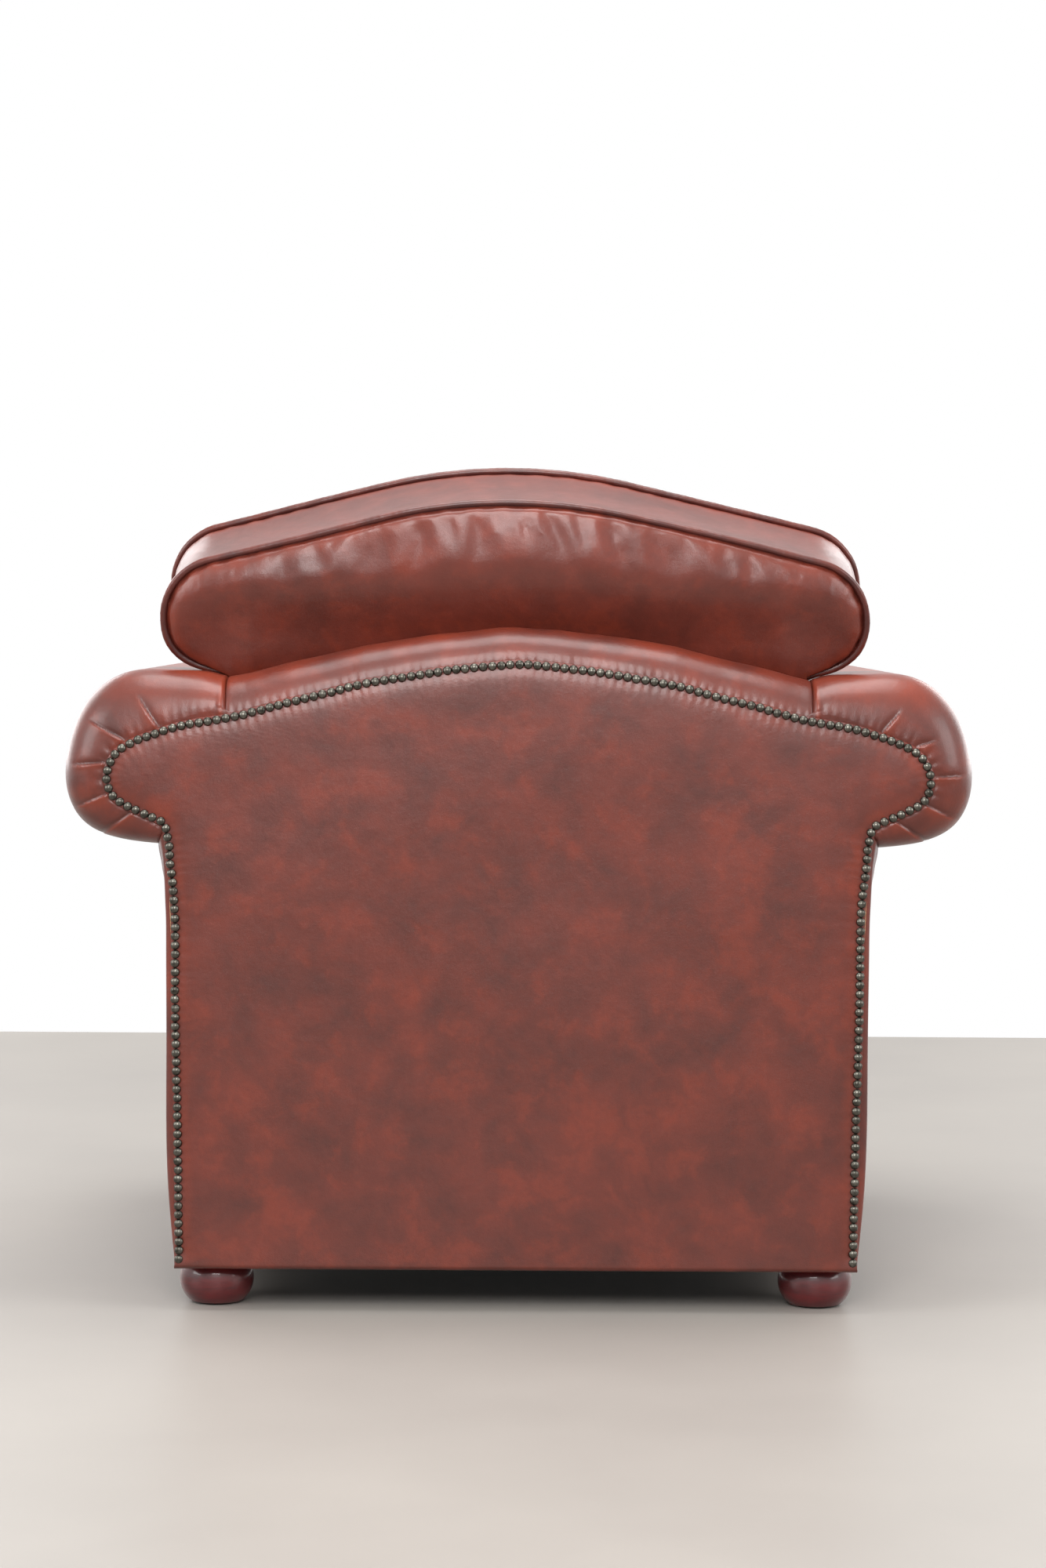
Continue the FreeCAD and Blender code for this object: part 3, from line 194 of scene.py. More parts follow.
def wood(name, early, late, ring_mm, roughness, coat, axis=(1, 1, 1)):
    """Wood with growth rings and pores drawn out along one axis."""
    material, tree = new_material(name)
    place = add(tree, "ShaderNodeTexCoord").outputs["Object"]
    drawn = add(tree, "ShaderNodeMapping", Vector=place, Scale=axis)
    rings = add(tree, "ShaderNodeTexNoise", Vector=drawn.outputs[0], Scale=1000 / ring_mm / 4, Detail=3.0,
                Roughness=0.5, Distortion=0.6)
    pores = add(tree, "ShaderNodeTexNoise", Vector=drawn.outputs[0], Scale=1000 / ring_mm, Detail=6.0,
                Roughness=0.7)
    mixed = add(tree, "ShaderNodeMath", {"operation": "MULTIPLY_ADD"}, _0=pores.outputs["Fac"], _1=0.4,
                _2=rings.outputs["Fac"])
    shade = add(tree, "ShaderNodeValToRGB", stops=[(0.5, early), (0.85, late)], Fac=mixed.outputs[0])
    bump = add(tree, "ShaderNodeBump", Strength=0.12, Distance=0.0005, Height=pores.outputs["Fac"])
    shader = add(tree, "ShaderNodeBsdfPrincipled", Base_Color=shade.outputs[0], Roughness=roughness,
                 Normal=bump.outputs[0], IOR=1.5)
    shader.inputs["Coat Weight"].default_value = coat
    shader.inputs["Coat Roughness"].default_value = 0.08
    add(tree, "ShaderNodeOutputMaterial", Surface=shader.outputs[0])
    return material


def weave(name, warp, weft, thread_mm, roughness=0.85):
    """A plain weave: two crossed waves of thread."""
    material, tree = new_material(name)
    place = add(tree, "ShaderNodeTexCoord").outputs["Object"]
    bands = [add(tree, "ShaderNodeTexWave", {"wave_type": "BANDS", "bands_direction": axis}, Vector=place,
                 Scale=1000 / thread_mm / 20, Distortion=0.4, Detail=1.0) for axis in ("X", "Z")]
    cross = add(tree, "ShaderNodeMath", {"operation": "MAXIMUM"}, _0=bands[0].outputs["Fac"],
                _1=bands[1].outputs["Fac"])
    shade = add(tree, "ShaderNodeValToRGB", stops=[(0.3, weft), (0.9, warp)], Fac=cross.outputs[0])
    bump = add(tree, "ShaderNodeBump", Strength=0.4, Distance=0.0006, Height=cross.outputs[0])
    shader = add(tree, "ShaderNodeBsdfPrincipled", Base_Color=shade.outputs[0], Roughness=roughness,
                 Normal=bump.outputs[0])
    add(tree, "ShaderNodeOutputMaterial", Surface=shader.outputs[0])
    return material

# %% [markdown]
# Now each finish gets its numbers, and every CAD node gets the finish of its slot. Most of these nodes are hidden
# under leather, but a pose may show them.

# %% Finishes of the chair
# Pressed brass, antiqued to gunmetal: dark valleys, and one small bright point on each dome.
nail_metal = metal("antiqued_nail_brass", "#6f6c64", 0.3, "#35332e")
# Oiled spring wire is grey and half dull, and zinc plating is paler and brighter.
spring_steel = metal("oiled_spring_steel", "#6b6d70", 0.38, "#45474a")
zinc_steel = metal("zinc_plated_steel", "#b9bcc0", 0.3, "#8c8f93")
# Beech under red stain and lacquer: nearly even dark red, with a sharp highlight from the lacquer.
mahogany = wood("stained_lacquered_beech", "#470a10", "#5f1216", 9, 0.35, 0.5, (1, 1, 4))
# Planed beech is pale and dull, with short rays along the board.
beech = wood("planed_beech", "#b08a60", "#d3b386", 6, 0.6, 0.0, (1, 0.2, 1))
# Spunbond dust cloth, jute webbing, zip tape and foam all scatter light, so none of them shines.
black_cloth = weave("spunbond_cloth", "#2c2c2e", "#161617", 1.2)
jute = weave("jute_webbing", "#b3966a", "#7c6440", 2.0)
zip_cloth = weave("zip_tape_cloth", "#3a2420", "#1e1210", 1.0)
foam = weave("foam_and_fibre", "#d8cdab", "#c4b890", 2.0)
# Moulded nylon glides: the same noise in the roughness, but no metal in it.
nylon = metal("moulded_nylon", "#2a2a2a", 0.5, "#242424")
nylon.node_tree.nodes["Principled BSDF"].inputs["Metallic"].default_value = 0.0
FINISHES = {"oxblood_leather": leather, "beech": beech, "mahogany_stain": mahogany, "upholstery_foam": foam,
            "black_cloth": black_cloth, "jute_webbing": jute, "antique_nail": nail_metal,
            "spring_steel": spring_steel, "zinc_steel": zinc_steel, "glide_plastic": nylon, "zip_tape": zip_cloth}
slots = {entry["node"]: entry["material_slot"] for entry in frame["record"]["subparts"]}
for name, node in frame["nodes"].items():
    node.data.materials.clear()
    node.data.materials.append(FINISHES[slots[name]])
print(len(frame["nodes"]), "CAD nodes got", len(FINISHES), "finishes")

# %% [markdown]
# ## From a flat grid to a curved skin
#
# Upholstery is made of flat hides pulled over shapes. The same idea works in mesh code: `create_grid` gives a flat
# hide of quads, and then each vertex moves to its place on a surface. Two helpers do that. `smooth` draws a curve
# through a few pattern points, and `hide` lays a grid over a table of places, closes what meets, and records the
# rubbing and the painted highlights and shade.

# %% Curves and hides
MM = 0.001
chance = np.random.default_rng(7)


def smooth(points, places):
    """A smooth curve through points, at places counted in points: 0 is the first, 1 the second."""
    points = np.asarray(points, float)
    knots = np.r_[0, np.cumsum(np.linalg.norm(np.diff(points, axis=0), axis=1))]
    gaps, count = np.diff(knots), len(points)
    system, pull = np.eye(count), np.zeros_like(points)
    for i in range(1, count - 1):
        system[i, i - 1:i + 2] = gaps[i - 1], 2 * (gaps[i - 1] + gaps[i]), gaps[i]
        pull[i] = 6 * ((points[i + 1] - points[i]) / gaps[i] - (points[i] - points[i - 1]) / gaps[i - 1])
    bend = np.linalg.solve(system, pull)
    along = np.interp(places, np.arange(count), knots)
    k = np.clip(np.searchsorted(knots, along, side="right") - 1, 0, count - 2)
    a = ((knots[k + 1] - along) / gaps[k])[:, None]
    b = 1 - a
    curve = ((a ** 3 - a) * bend[k] + (b ** 3 - b) * bend[k + 1]) * gaps[k][:, None] ** 2 / 6
    return a * points[k] + b * points[k + 1] + curve


def even_places(points, spacing, first=0, last=None):
    """Places on the smooth curve that lie evenly along it, about a spacing apart."""
    places = np.linspace(first, len(points) - 1 if last is None else last, 3000)
    run = smooth(points, places)
    length = np.r_[0, np.cumsum(np.linalg.norm(np.diff(run, axis=0), axis=1))]
    count = max(int(round(length[-1] / spacing)), 1)
    return np.interp(np.linspace(0, length[-1], count + 1), length, places)


def normals(skin):
    """Outward directions of a table of places."""
    across = np.cross(np.gradient(skin, axis=0), np.gradient(skin, axis=1))
    return across / np.maximum(np.linalg.norm(across, axis=2, keepdims=True), 1e-9)


def hide(name, skin, finish, wear_and_painted_light=None, turned=False, weld=True):
    """A leather skin over a table of places in millimetres, with its rubbing and painted light."""
    columns, rows = skin.shape[0] - 1, skin.shape[1] - 1
    work = bmesh.new()
    bmesh.ops.create_grid(work, x_segments=columns, y_segments=rows, size=1.0)
    mesh = bpy.data.meshes.new(name)
    work.to_mesh(mesh)
    flat = np.empty(len(mesh.vertices) * 3)
    mesh.vertices.foreach_get("co", flat)
    flat = flat.reshape(-1, 3)
    i = np.rint((flat[:, 0] + 1) / 2 * columns).astype(int)
    j = np.rint((flat[:, 1] + 1) / 2 * rows).astype(int)
    mesh.vertices.foreach_set("co", (skin[i, j] * MM).ravel())
    layer = mesh.attributes.new("wear_and_painted_light", "FLOAT", "POINT")
    layer.data.foreach_set("value", (np.zeros(len(flat)) if wear_and_painted_light is None else wear_and_painted_light[i, j]).ravel())
    work.clear()
    work.from_mesh(mesh)
    if weld:
        bmesh.ops.remove_doubles(work, verts=work.verts, dist=2e-5)
    if turned:
        bmesh.ops.reverse_faces(work, faces=work.faces)
    work.to_mesh(mesh)
    work.free()
    return piece(name, mesh, finish)


def piece(name, mesh, finish):
    """An object of a finished mesh, smooth shaded, in its finish."""
    mesh.materials.append(finish)
    mesh.polygons.foreach_set("use_smooth", [True] * len(mesh.polygons))
    mesh.update()
    made = bpy.data.objects.new(name, mesh)
    bpy.context.scene.collection.objects.link(made)
    return made


def dress(made, body, slot, *nodes, fill=None):
    """Ties a piece to its body and hides the CAD nodes that it stands for; its material slot is not used."""
    if nodes:
        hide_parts(*nodes)
    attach(made, body)
    print(f"{made.name}: {len(made.data.vertices)} vertices")
    return made


def step(value, low, high):
    """0 below low, 1 above high, and a soft change between."""
    share = np.clip((value - low) / (high - low), 0, 1)
    return share * share * (3 - 2 * share)

# %% [markdown]
# ## Patterns
#
# The same few outlines shape the whole chair, so they are written once. The nail line runs along the camel hump of
# the back, round each scroll and down the stems. The arm section rolls over from the inside of the arm.

# %% Outlines from the pattern
BACK, FRONT, END, MITRE = 453.0, -450.0, 50.0, 339.0
HEM, ROLL_FOOT = 48.6, 540.0
NAIL_PITCH = 10.4
TILT = math.radians(17)
CUSHION_TOP_Y, CUSHION_TOP_Z = 413.0, 937.0
ROLL = [(0, .10), (.047, .50), (.158, .83), (.289, .965), (.486, 1), (.723, .92), (.897, .75), (.988, .525),
        (.996, .30), (.925, .13), (.775, .035), (.577, 0)]
CAMEL = [(0, 0), (.067, .022), (.133, .054), (.266, .136), (.399, .247), (.533, .37), (.666, .555),
         (.799, .727), (.932, .921), (1, 1)]
SCROLL = [(-.312, .997), (.065, .944), (.317, .889), (.571, .825), (.809, .738), (.902, .672), (.963, .59),
          (1, .443), (.97, .369), (.915, .299), (.809, .243), (.691, .2), (.57, .161), (.446, .125),
          (.335, .093), (.224, .053), (.159, -.027), (.137, -.102), (.117, -.193), (.113, -.279)]
STEM = [(.08, .931), (.034, .73), (.006, .464), (-.024, .13)]
HEAD = [(-.085, 1.008), (.537, .873), (.848, .758), (1.024, .59), (1.024, .357), (.823, .211), (.537, .116),
        (.232, .008)]
HEAD_FRONT = [(-.99, .5), (-.817, .83), (-.488, .985)]
HEAD_REAR = [(-1.024, .53), (-.878, .918), (-.537, 1.066)]


def scroll_point(u, v):
    """A point of a scroll, from its shares of the reach and of the height."""
    return 392 + u * 82, 560 + v * 122


def outward(points, distance):
    """A run of points moved to its outer side."""
    points = np.asarray(points, float)
    along = np.gradient(points, axis=0)
    along /= np.linalg.norm(along, axis=1, keepdims=True)
    return points + np.stack([-along[:, 1], along[:, 0]], axis=1) * distance


half_run = [(u * MITRE, 750.5 - v * 64.5) for u, v in CAMEL] + [scroll_point(u, v) for u, v in SCROLL]
half_run += [(scroll_point(u, 0)[0], v * ROLL_FOOT) for u, v in STEM]
nail_run = [(-x, z) for x, z in half_run[:0:-1]] + half_run
nail_places = even_places(nail_run, NAIL_PITCH)
nails = smooth(nail_run, nail_places)
camel_x, camel_z = np.array([(u * MITRE, 750.5 - v * 64.5) for u, v in CAMEL]).T


def camel(x):
    """Height of the nail line over the back."""
    return np.interp(np.abs(x), camel_x, camel_z)


def pad_y(z):
    """Y of the inside back at a height."""
    return CUSHION_TOP_Y - (CUSHION_TOP_Z - z) * math.tan(TILT) + 12 / math.cos(TILT)


def nail_field(x, z):
    """For places in the plane of the back: distance to the nail line, and the turn of the nails there."""
    line_places = np.linspace(nail_places[0], nail_places[-1], 5 * len(nail_places))
    line = smooth(nail_run, line_places)
    count = np.interp(line_places, nail_places, np.arange(len(nail_places)))
    spots = np.stack([x.ravel(), z.ravel()], axis=1)
    far, turn = np.empty(len(spots)), np.empty(len(spots))
    for start in range(0, len(spots), 4000):
        gap = np.linalg.norm(spots[start:start + 4000, None] - line[None], axis=2)
        nearest = gap.argmin(axis=1)
        far[start:start + 4000] = gap[np.arange(len(nearest)), nearest]
        turn[start:start + 4000] = count[nearest]
    return far.reshape(x.shape), turn.reshape(x.shape)


pull = chance.uniform(0.35, 1.0, len(nails) + 1)
print(len(nails), "nails along the back")

# %% [markdown]
# ## The arms
#
# Each arm is one hide. It comes up from the seat, is drawn into diamonds by two rows of buttons, rolls over the top
# and tucks in under the roll. At both ends it turns round a padded edge, where the spare leather has to go
# somewhere, so it is folded into pleats that all point at the middle of the scroll. Sculpting this by hand gives a
# different shape on each side. Here a function gives the depth of every fold at each vertex, so the folds start
# exactly at the buttons and at the nails.

# %% Folds of the arm leather
BUTTON_LOW, BUTTON_HIGH, BUTTON_FIRST, BUTTON_PITCH = 515.0, 612.0, -350.0, 120.0
REAR_PLEATS = {1: [((415.5, 675.8), (435.7, 705.1)), ((456.6, 661.6), (490.5, 679.3)),
                   ((478.4, 634.2), (509.8, 631.0)), ((472.7, 598.8), (507.4, 584.2)),
                   ((445.4, 576.9), (478.4, 554.4))],
               -1: [((419.3, 676.2), (437.0, 695.5)), ((451.5, 656.7), (475.7, 663.2)),
                    ((477.3, 622.9), (507.1, 623.7)), ((470.0, 590.6), (498.3, 576.9)),
                    ((436.2, 570.5), (467.7, 550.4))]}


def diamonds(y, w):
    """Depth of the buttoned folds of the inside arm; w is the way up from the floor along the leather."""
    rise = np.clip((w - BUTTON_LOW) / (BUTTON_HIGH - BUTTON_LOW), 0, 1)
    cell = (y - BUTTON_FIRST) / BUTTON_PITCH
    left, right = (np.abs(np.sin(math.pi * (cell + s * rise / 2))) for s in (-1, 1))
    puff = 0.65 * (left * right) ** 0.45 + 0.35 * np.maximum(left, right) ** 0.6
    depth = 8.5 * (1 - puff)
    reach = step(w, 330, 470) * (1 - 0.72 * step(w, 640, 800))
    depth = depth * reach
    for row, shift, count in ((BUTTON_LOW, 0, 6), (BUTTON_HIGH, 0.5, 5)):
        for i in range(count):
            away = (y - BUTTON_FIRST - (i + shift) * BUTTON_PITCH) ** 2 + (w - row) ** 2
            depth = depth + 4.5 * np.exp(-away / 2 / 13 ** 2)
    return depth


def pleat(across, soft=0.6):
    """Height of a folded pleat at a distance across it: a lip on one side, a valley on the other."""
    side = 0.5 * (1 + np.tanh(across / soft))
    return side * 1.9 * np.exp(-np.abs(across) / 5) - (1 - side) * 3.2 * np.exp(-np.abs(across) / 3.2)


def radial_pleats(x, z, folds, mirror):
    """Height of the pleats that run out from a scroll, each from its nail end to its outer end."""
    height = np.zeros_like(x)
    for (x0, z0), (x1, z1) in folds:
        run = np.array([x1 - x0, z1 - z0])
        length = np.linalg.norm(run)
        run /= length
        share = ((x - x0) * run[0] + (z - z0) * run[1]) / length
        across = ((x - x0) * run[1] - (z - z0) * run[0]) * mirror
        height += pleat(across) * step(share, -0.35, 0.0) * (1 - step(share, 0.75, 1.35))
    return height


print("depth of a fold at a low button, mm:", round(float(diamonds(BUTTON_FIRST, BUTTON_LOW)), 1))

# %% [markdown]
# An arm is a table of sections. In the middle they all have the full roll, and towards each end they shrink along a
# quarter circle to the outline of the scroll, which gives the padded edge. The folds are added along the normals.

# %% One arm, from its front scroll to its rear scroll
STUFFED_ROLL = ROLL[:5] + [(.735, .982), (.903, .825), (.991, .56)] + ROLL[8:]


def arm(side):
    """The leather of one arm; side is 1 for the left and -1 for the right."""
    full = np.array([(272 + u * 253, 540 + v * 200) for u, v in STUFFED_ROLL])
    places = even_places(full, 2.3)
    over = smooth(full, places)
    rows_y, rows_share, rows_tuck = [], [], []
    turn = np.linspace(math.pi / 2, 0, 40)
    for tuck in (9, 6, 3):
        rows_y.append(FRONT - 0.2), rows_share.append(1.0), rows_tuck.append(tuck)
    for angle in turn:
        rows_y.append(FRONT + END - END * math.sin(angle)), rows_share.append(1 - math.cos(angle)), rows_tuck.append(0)
    for y in np.linspace(FRONT + END, BACK - END, 180)[1:-1]:
        rows_y.append(y), rows_share.append(0.0), rows_tuck.append(0)
    for angle in turn[::-1]:
        rows_y.append(BACK - END + END * math.sin(angle)), rows_share.append(1 - math.cos(angle)), rows_tuck.append(0)
    for tuck in (3, 6, 9):
        rows_y.append(BACK + 0.2), rows_share.append(1.0), rows_tuck.append(tuck)
    inside = np.linspace(296, 560, 66)[:-1]
    under = 3
    skin = np.zeros((len(inside) + len(over) + under, len(rows_y), 3))
    for j, (y, share, tuck) in enumerate(zip(rows_y, rows_share, rows_tuck)):
        head = [(305, 560)] + [scroll_point(u, v) for u, v in (HEAD_REAR if y > 0 else HEAD_FRONT) + HEAD]
        head = outward(head, 3)
        run = over + (smooth(head, places) - over) * share
        if tuck:
            run = outward(run, -tuck)
        lower = np.stack([np.full(len(inside), run[0, 0]), 296 + (inside - 296) * (run[0, 1] - 296) / 264], axis=1)
        inner = run[-1] + np.outer(np.arange(1, under + 1), [-5.0, 2.0])
        path = np.concatenate([lower, run, inner])
        skin[:, j, 0], skin[:, j, 1], skin[:, j, 2] = path[:, 0], y, path[:, 1]
    way = np.r_[inside, 560 + np.r_[0, np.cumsum(np.linalg.norm(np.diff(over, axis=0), axis=1))],
                np.full(under, 1200.0)][:, None] * np.ones(len(rows_y))
    x, y, z = skin[..., 0], skin[..., 1], skin[..., 2]
    middle = step(y, FRONT + 12, FRONT + 75) * (1 - step(y, BACK - 130, BACK - 60))
    lift = 1.0 - diamonds(y, way) * middle
    lift -= 1.0 * (way < 470)
    ends = np.clip(np.abs(y - 1.5) - (451.5 - END), 0, END) / END
    folds = radial_pleats(x, z, REAR_PLEATS[side], 1) * step(y, BACK - 62, BACK - 30)
    folds += radial_pleats(x, z, REAR_PLEATS[1], 1) * step(-y, -FRONT - 62, -FRONT - 30)
    far, turn_of = nail_field(x, z)
    phase = np.cos(2 * math.pi * turn_of)
    at_rear = step(y, BACK - 32, BACK - 4)
    own = np.interp(turn_of, np.arange(len(pull)), pull)
    scallop = -0.75 * own * phase * np.exp(-np.maximum(far - 6, 0) / 6) * at_rear
    seam = (y > BACK - 95) & (z > 660)
    into = np.clip(MITRE - x, 0, 20)
    groove = 1.9 * np.exp(-np.clip(x - MITRE, 0, 60) / 1.6) - 1.2 * np.exp(-((x - 344) / 3) ** 2)
    dip = np.where(seam, groove + into * 1.2, 0)
    dip *= step(y, BACK - 95, BACK - 75) * (ends < 0.985)
    lift = lift + folds + scallop - dip
    lift[-under:] = 0
    lift *= np.array([0.0 if tuck else 1.0 for tuck in rows_tuck])[None, :]
    skin += normals(skin) * lift[..., None]
    skin[..., 0] *= side
    # Lighter along the top of the arm: rubbed wear, and a painted highlight where the roll meets the light.
    crest = 0.75 * step(z, 690, 735) * (0.55 + 0.45 * np.sin(y / 31 + side) * np.sin(y / 17 + x / 40))
    # Painted highlight on each pleat's lip and painted shade in its valley.
    crest += 0.5 * np.clip(folds / 1.5, 0, 1) - 0.5 * np.clip(-folds / 2.5, 0, 1)
    # A painted highlight along the edge beside the mitre seam.
    crest += np.where(seam, 0.5 * np.exp(-((x * side - 343.5) / 2.2) ** 2), 0) * at_rear
    # Darker in the deep diamond folds: dark wax, and painted shade.
    crest -= 0.45 * step(diamonds(y, way) * middle, 5, 10)
    name = "arm_leather_left" if side > 0 else "arm_leather_right"
    return hide(name, skin, leather, crest, turned=side < 0)


for side, word in ((1, "left"), (-1, "right")):
    dress(arm(side), "chair_frame", "oxblood_leather", "arm_cover_" + word, "arm_stuffing_" + word, fill=0.8)

print("pleats at the rear scrolls:", {side: len(folds) for side, folds in REAR_PLEATS.items()})

# %% [markdown]
# ## The roll along the top of the back
#
# The back roll is a second hide. It starts under the nailed panel, goes up over the camel rail and down the inside.
# Its section changes from the hump to the seams, so each column of the grid gets its own two arcs. It ends at the
# mitre seams in a rounded edge that turns down into the groove.

# %% The back roll
def arc(first, middle, last, count):
    """Points along the arc through three points."""
    (ax, ay), (bx, by), (cx, cy) = first, middle, last
    d = 2 * (ax * (by - cy) + bx * (cy - ay) + cx * (ay - by))
    ux = ((ax * ax + ay * ay) * (by - cy) + (bx * bx + by * by) * (cy - ay) + (cx * cx + cy * cy) * (ay - by)) / d
    uy = ((ax * ax + ay * ay) * (cx - bx) + (bx * bx + by * by) * (ax - cx) + (cx * cx + cy * cy) * (bx - ax)) / d
    start, end = math.atan2(ay - uy, ax - ux), math.atan2(cy - uy, cx - ux)
    via = math.atan2(by - uy, bx - ux)
    if (via - start) % (2 * math.pi) > (end - start) % (2 * math.pi):
        sweep = (end - start) % (2 * math.pi) - 2 * math.pi
    else:
        sweep = (end - start) % (2 * math.pi)
    angles = start + sweep * np.linspace(0, 1, count)
    radius = math.hypot(ax - ux, ay - uy)
    return np.stack([ux + radius * np.cos(angles), uy + radius * np.sin(angles)], axis=1)


def roll_section(x):
    """Section of the back roll at a distance from the middle, from under the panel over to the inside."""
    low = float(camel(x))
    top = low + 42 + 5 * abs(x) / MITRE
    start = np.array([[BACK + 0.2, low - 4], [BACK + 0.2, low - 1], [BACK + 0.1, low + 2]])
    rear = arc((BACK, low + 4), (444, low + 27), (407, top), 34)
    inside = arc((407, top), (379, top - 11), (pad_y(low - 10), low - 10), 40)
    tuck = inside[-1] + np.outer([1, 2], [2.0, -5.0])
    return np.concatenate([start, rear, inside[1:], tuck])


columns_x = np.linspace(-MITRE, MITRE, 420)
skin = np.zeros((len(columns_x), len(roll_section(0)), 3))
for i, x in enumerate(columns_x):
    section = roll_section(x)
    skin[i, :, 0], skin[i, :, 1], skin[i, :, 2] = x, section[:, 0], section[:, 1]
skin = skin[::-1]
x, y, z = skin[..., 0], skin[..., 1], skin[..., 2]
far, turn_of = nail_field(x, z)
rear_side = step(y, 405, 440)
own = np.interp(turn_of, np.arange(len(pull)), pull)
lift = -0.4 * np.cos(2 * math.pi * turn_of) * own * np.exp(-np.maximum(far - 5, 0) / 5) * rear_side
lift += 1.1 * (own - 0.7) * np.exp(-far / 22) * rear_side
lift += 0.9 * np.sin(x / 23 + np.sin(x / 61) * 2) * step(z, 690, 760) * np.sin(x / 51 + 1)
edge = np.clip(6 - (MITRE - np.abs(x)), 0, 6) / 6
lift -= 2.4 * (1 - np.sqrt(1 - edge ** 2 * 0.999))
lift[:, :3] = 0
skin += normals(skin) * lift[..., None]
# Lighter along the top of the roll: rubbed wear, and a painted highlight.
crest = 0.4 * step(z - camel(x), 24, 44) * (0.5 + 0.5 * np.sin(x / 37 + 2) * np.sin(x / 19))
# A painted highlight in a band just above the nails, and painted shade at the ends where the roll turns into the mitre
# seams.
crest += 0.1 * step(z - camel(x), 4, 9) * (1 - step(z - camel(x), 12, 26)) - 0.5 * step(edge, 0.5, 1)
roll_piece = hide("back_roll_leather", skin, leather, crest)
dress(roll_piece, "chair_frame", "oxblood_leather", "back_roll", fill=0.8)

# %% [markdown]
# ## The outside back
#
# The back is one plain panel of leather over thin padding, held by a row of nails a finger's width apart. Pulling
# the hide to each nail leaves a scallop between two nails and a small pucker below each gap. The grid is bent round
# like a spider's web: its rings follow the outline, so the rows near the nails are fine and the middle is coarse.

# %% The nailed panel
def closed_outline(points, spacing):
    """The outline of the back panel: its nailed edge, then the straight hem."""
    edge = smooth(points, even_places(points, spacing))
    hem_count = int(abs(edge[-1, 0] - edge[0, 0]) / 4)
    hem = np.linspace(edge[-1], edge[0], hem_count + 1)[1:]
    return np.concatenate([edge, hem])


panel_run = outward(nail_run, 5.5)
panel_run[0] = [panel_run[0, 0], HEM]
panel_run[-1] = [panel_run[-1, 0], HEM]
outline = closed_outline(panel_run, 2.08)
shares = np.concatenate([np.linspace(1, 0.97, 10)[:-1], np.linspace(0.97, 0.84, 24)[:-1], np.linspace(0.84, 0, 22)])
hub = np.array([0.0, 600.0])
plan = hub + (outline[:, None, :] - hub) * shares[None, :, None]
far, turn_of = nail_field(plan[..., 0], plan[..., 1])
outside_edge = np.linalg.norm(plan - outline[:, None, :], axis=2)
hem_near = plan[..., 1] - HEM
own = np.interp(turn_of, np.arange(len(pull)), pull)
phase = np.cos(2 * math.pi * turn_of)
inner = np.where(shares[None, :] > 0.999, 5.5, far) * np.ones_like(far)
puff = 3.1 * (1 - np.exp(-np.maximum(far - 4.5, 0) / 10)) - 1.3 * step(far, 70, 260)
bump = -0.65 * phase * own * (np.exp(-far / 8) - 0.75 * np.exp(-far / 2.2))
bump += 0.55 * (own - 0.68) * np.exp(-far / 30)
wander = 0.8 * np.sin(plan[..., 0] / 83 + np.sin(plan[..., 1] / 97)) * np.sin(plan[..., 1] / 71 + 0.5)
height = 455.9 + puff + bump + wander * step(far, 20, 90)
height = np.minimum(height, 459.2)
skin = np.stack([plan[..., 0], height, plan[..., 1]], axis=2)
rim = np.minimum(outside_edge, 3.5)
skin[..., 1] = np.where(outside_edge < 3.5, 453.2 + (height - 453.2) * np.sqrt(1 - (1 - rim / 3.5) ** 2), height)
skin[..., 1] = np.where(hem_near < 4, 453.2 + (height - 453.2) * np.sqrt(np.clip(hem_near, 0, 4) / 4), skin[..., 1])
# Painted highlights and shade: the scallops under the nails go lighter and darker in turn, and a band just inside the
# nail row is lighter.
wear_and_painted_light = 0.20 * phase * own * np.exp(-far / 6) * (far > 2) + 0.24 * np.exp(-((far - 9) / 6) ** 2) * own
panel_piece = hide("outside_back_leather", skin, leather, wear_and_painted_light, turned=True)
dress(panel_piece, "chair_frame", "oxblood_leather", "outside_back_panel")

# %% [markdown]
# ## Nails
#
# An upholstery nail is a thin pressed dome on a shank. There are nearly five hundred, so each has few faces: a
# profile of five points spun in fourteen steps. A hand-driven row is never perfect, so each nail is tipped by up to a
# few degrees and moved by a fraction of a millimetre, from a seeded generator.

# %% Nail heads
def dome_profile():
    """Profile of a nail head, from the top of the dome to its turned-in rim."""
    return [(0.0, 3.6), (1.9, 3.38), (3.6, 2.6), (4.8, 1.3), (5.2, 0.1), (4.8, -0.5)]


def spun(work, profile, steps):
    """Spins a profile of radius and height round Z, and closes it."""
    verts = [work.verts.new((r * MM, 0, h * MM)) for r, h in profile]
    edges = [work.edges.new(pair) for pair in zip(verts, verts[1:])]
    bmesh.ops.spin(work, geom=verts + edges, cent=(0, 0, 0), axis=(0, 0, 1), dvec=(0, 0, 0),
                   angle=2 * math.pi, steps=steps, use_merge=True)
    bmesh.ops.remove_doubles(work, verts=work.verts, dist=1e-6)


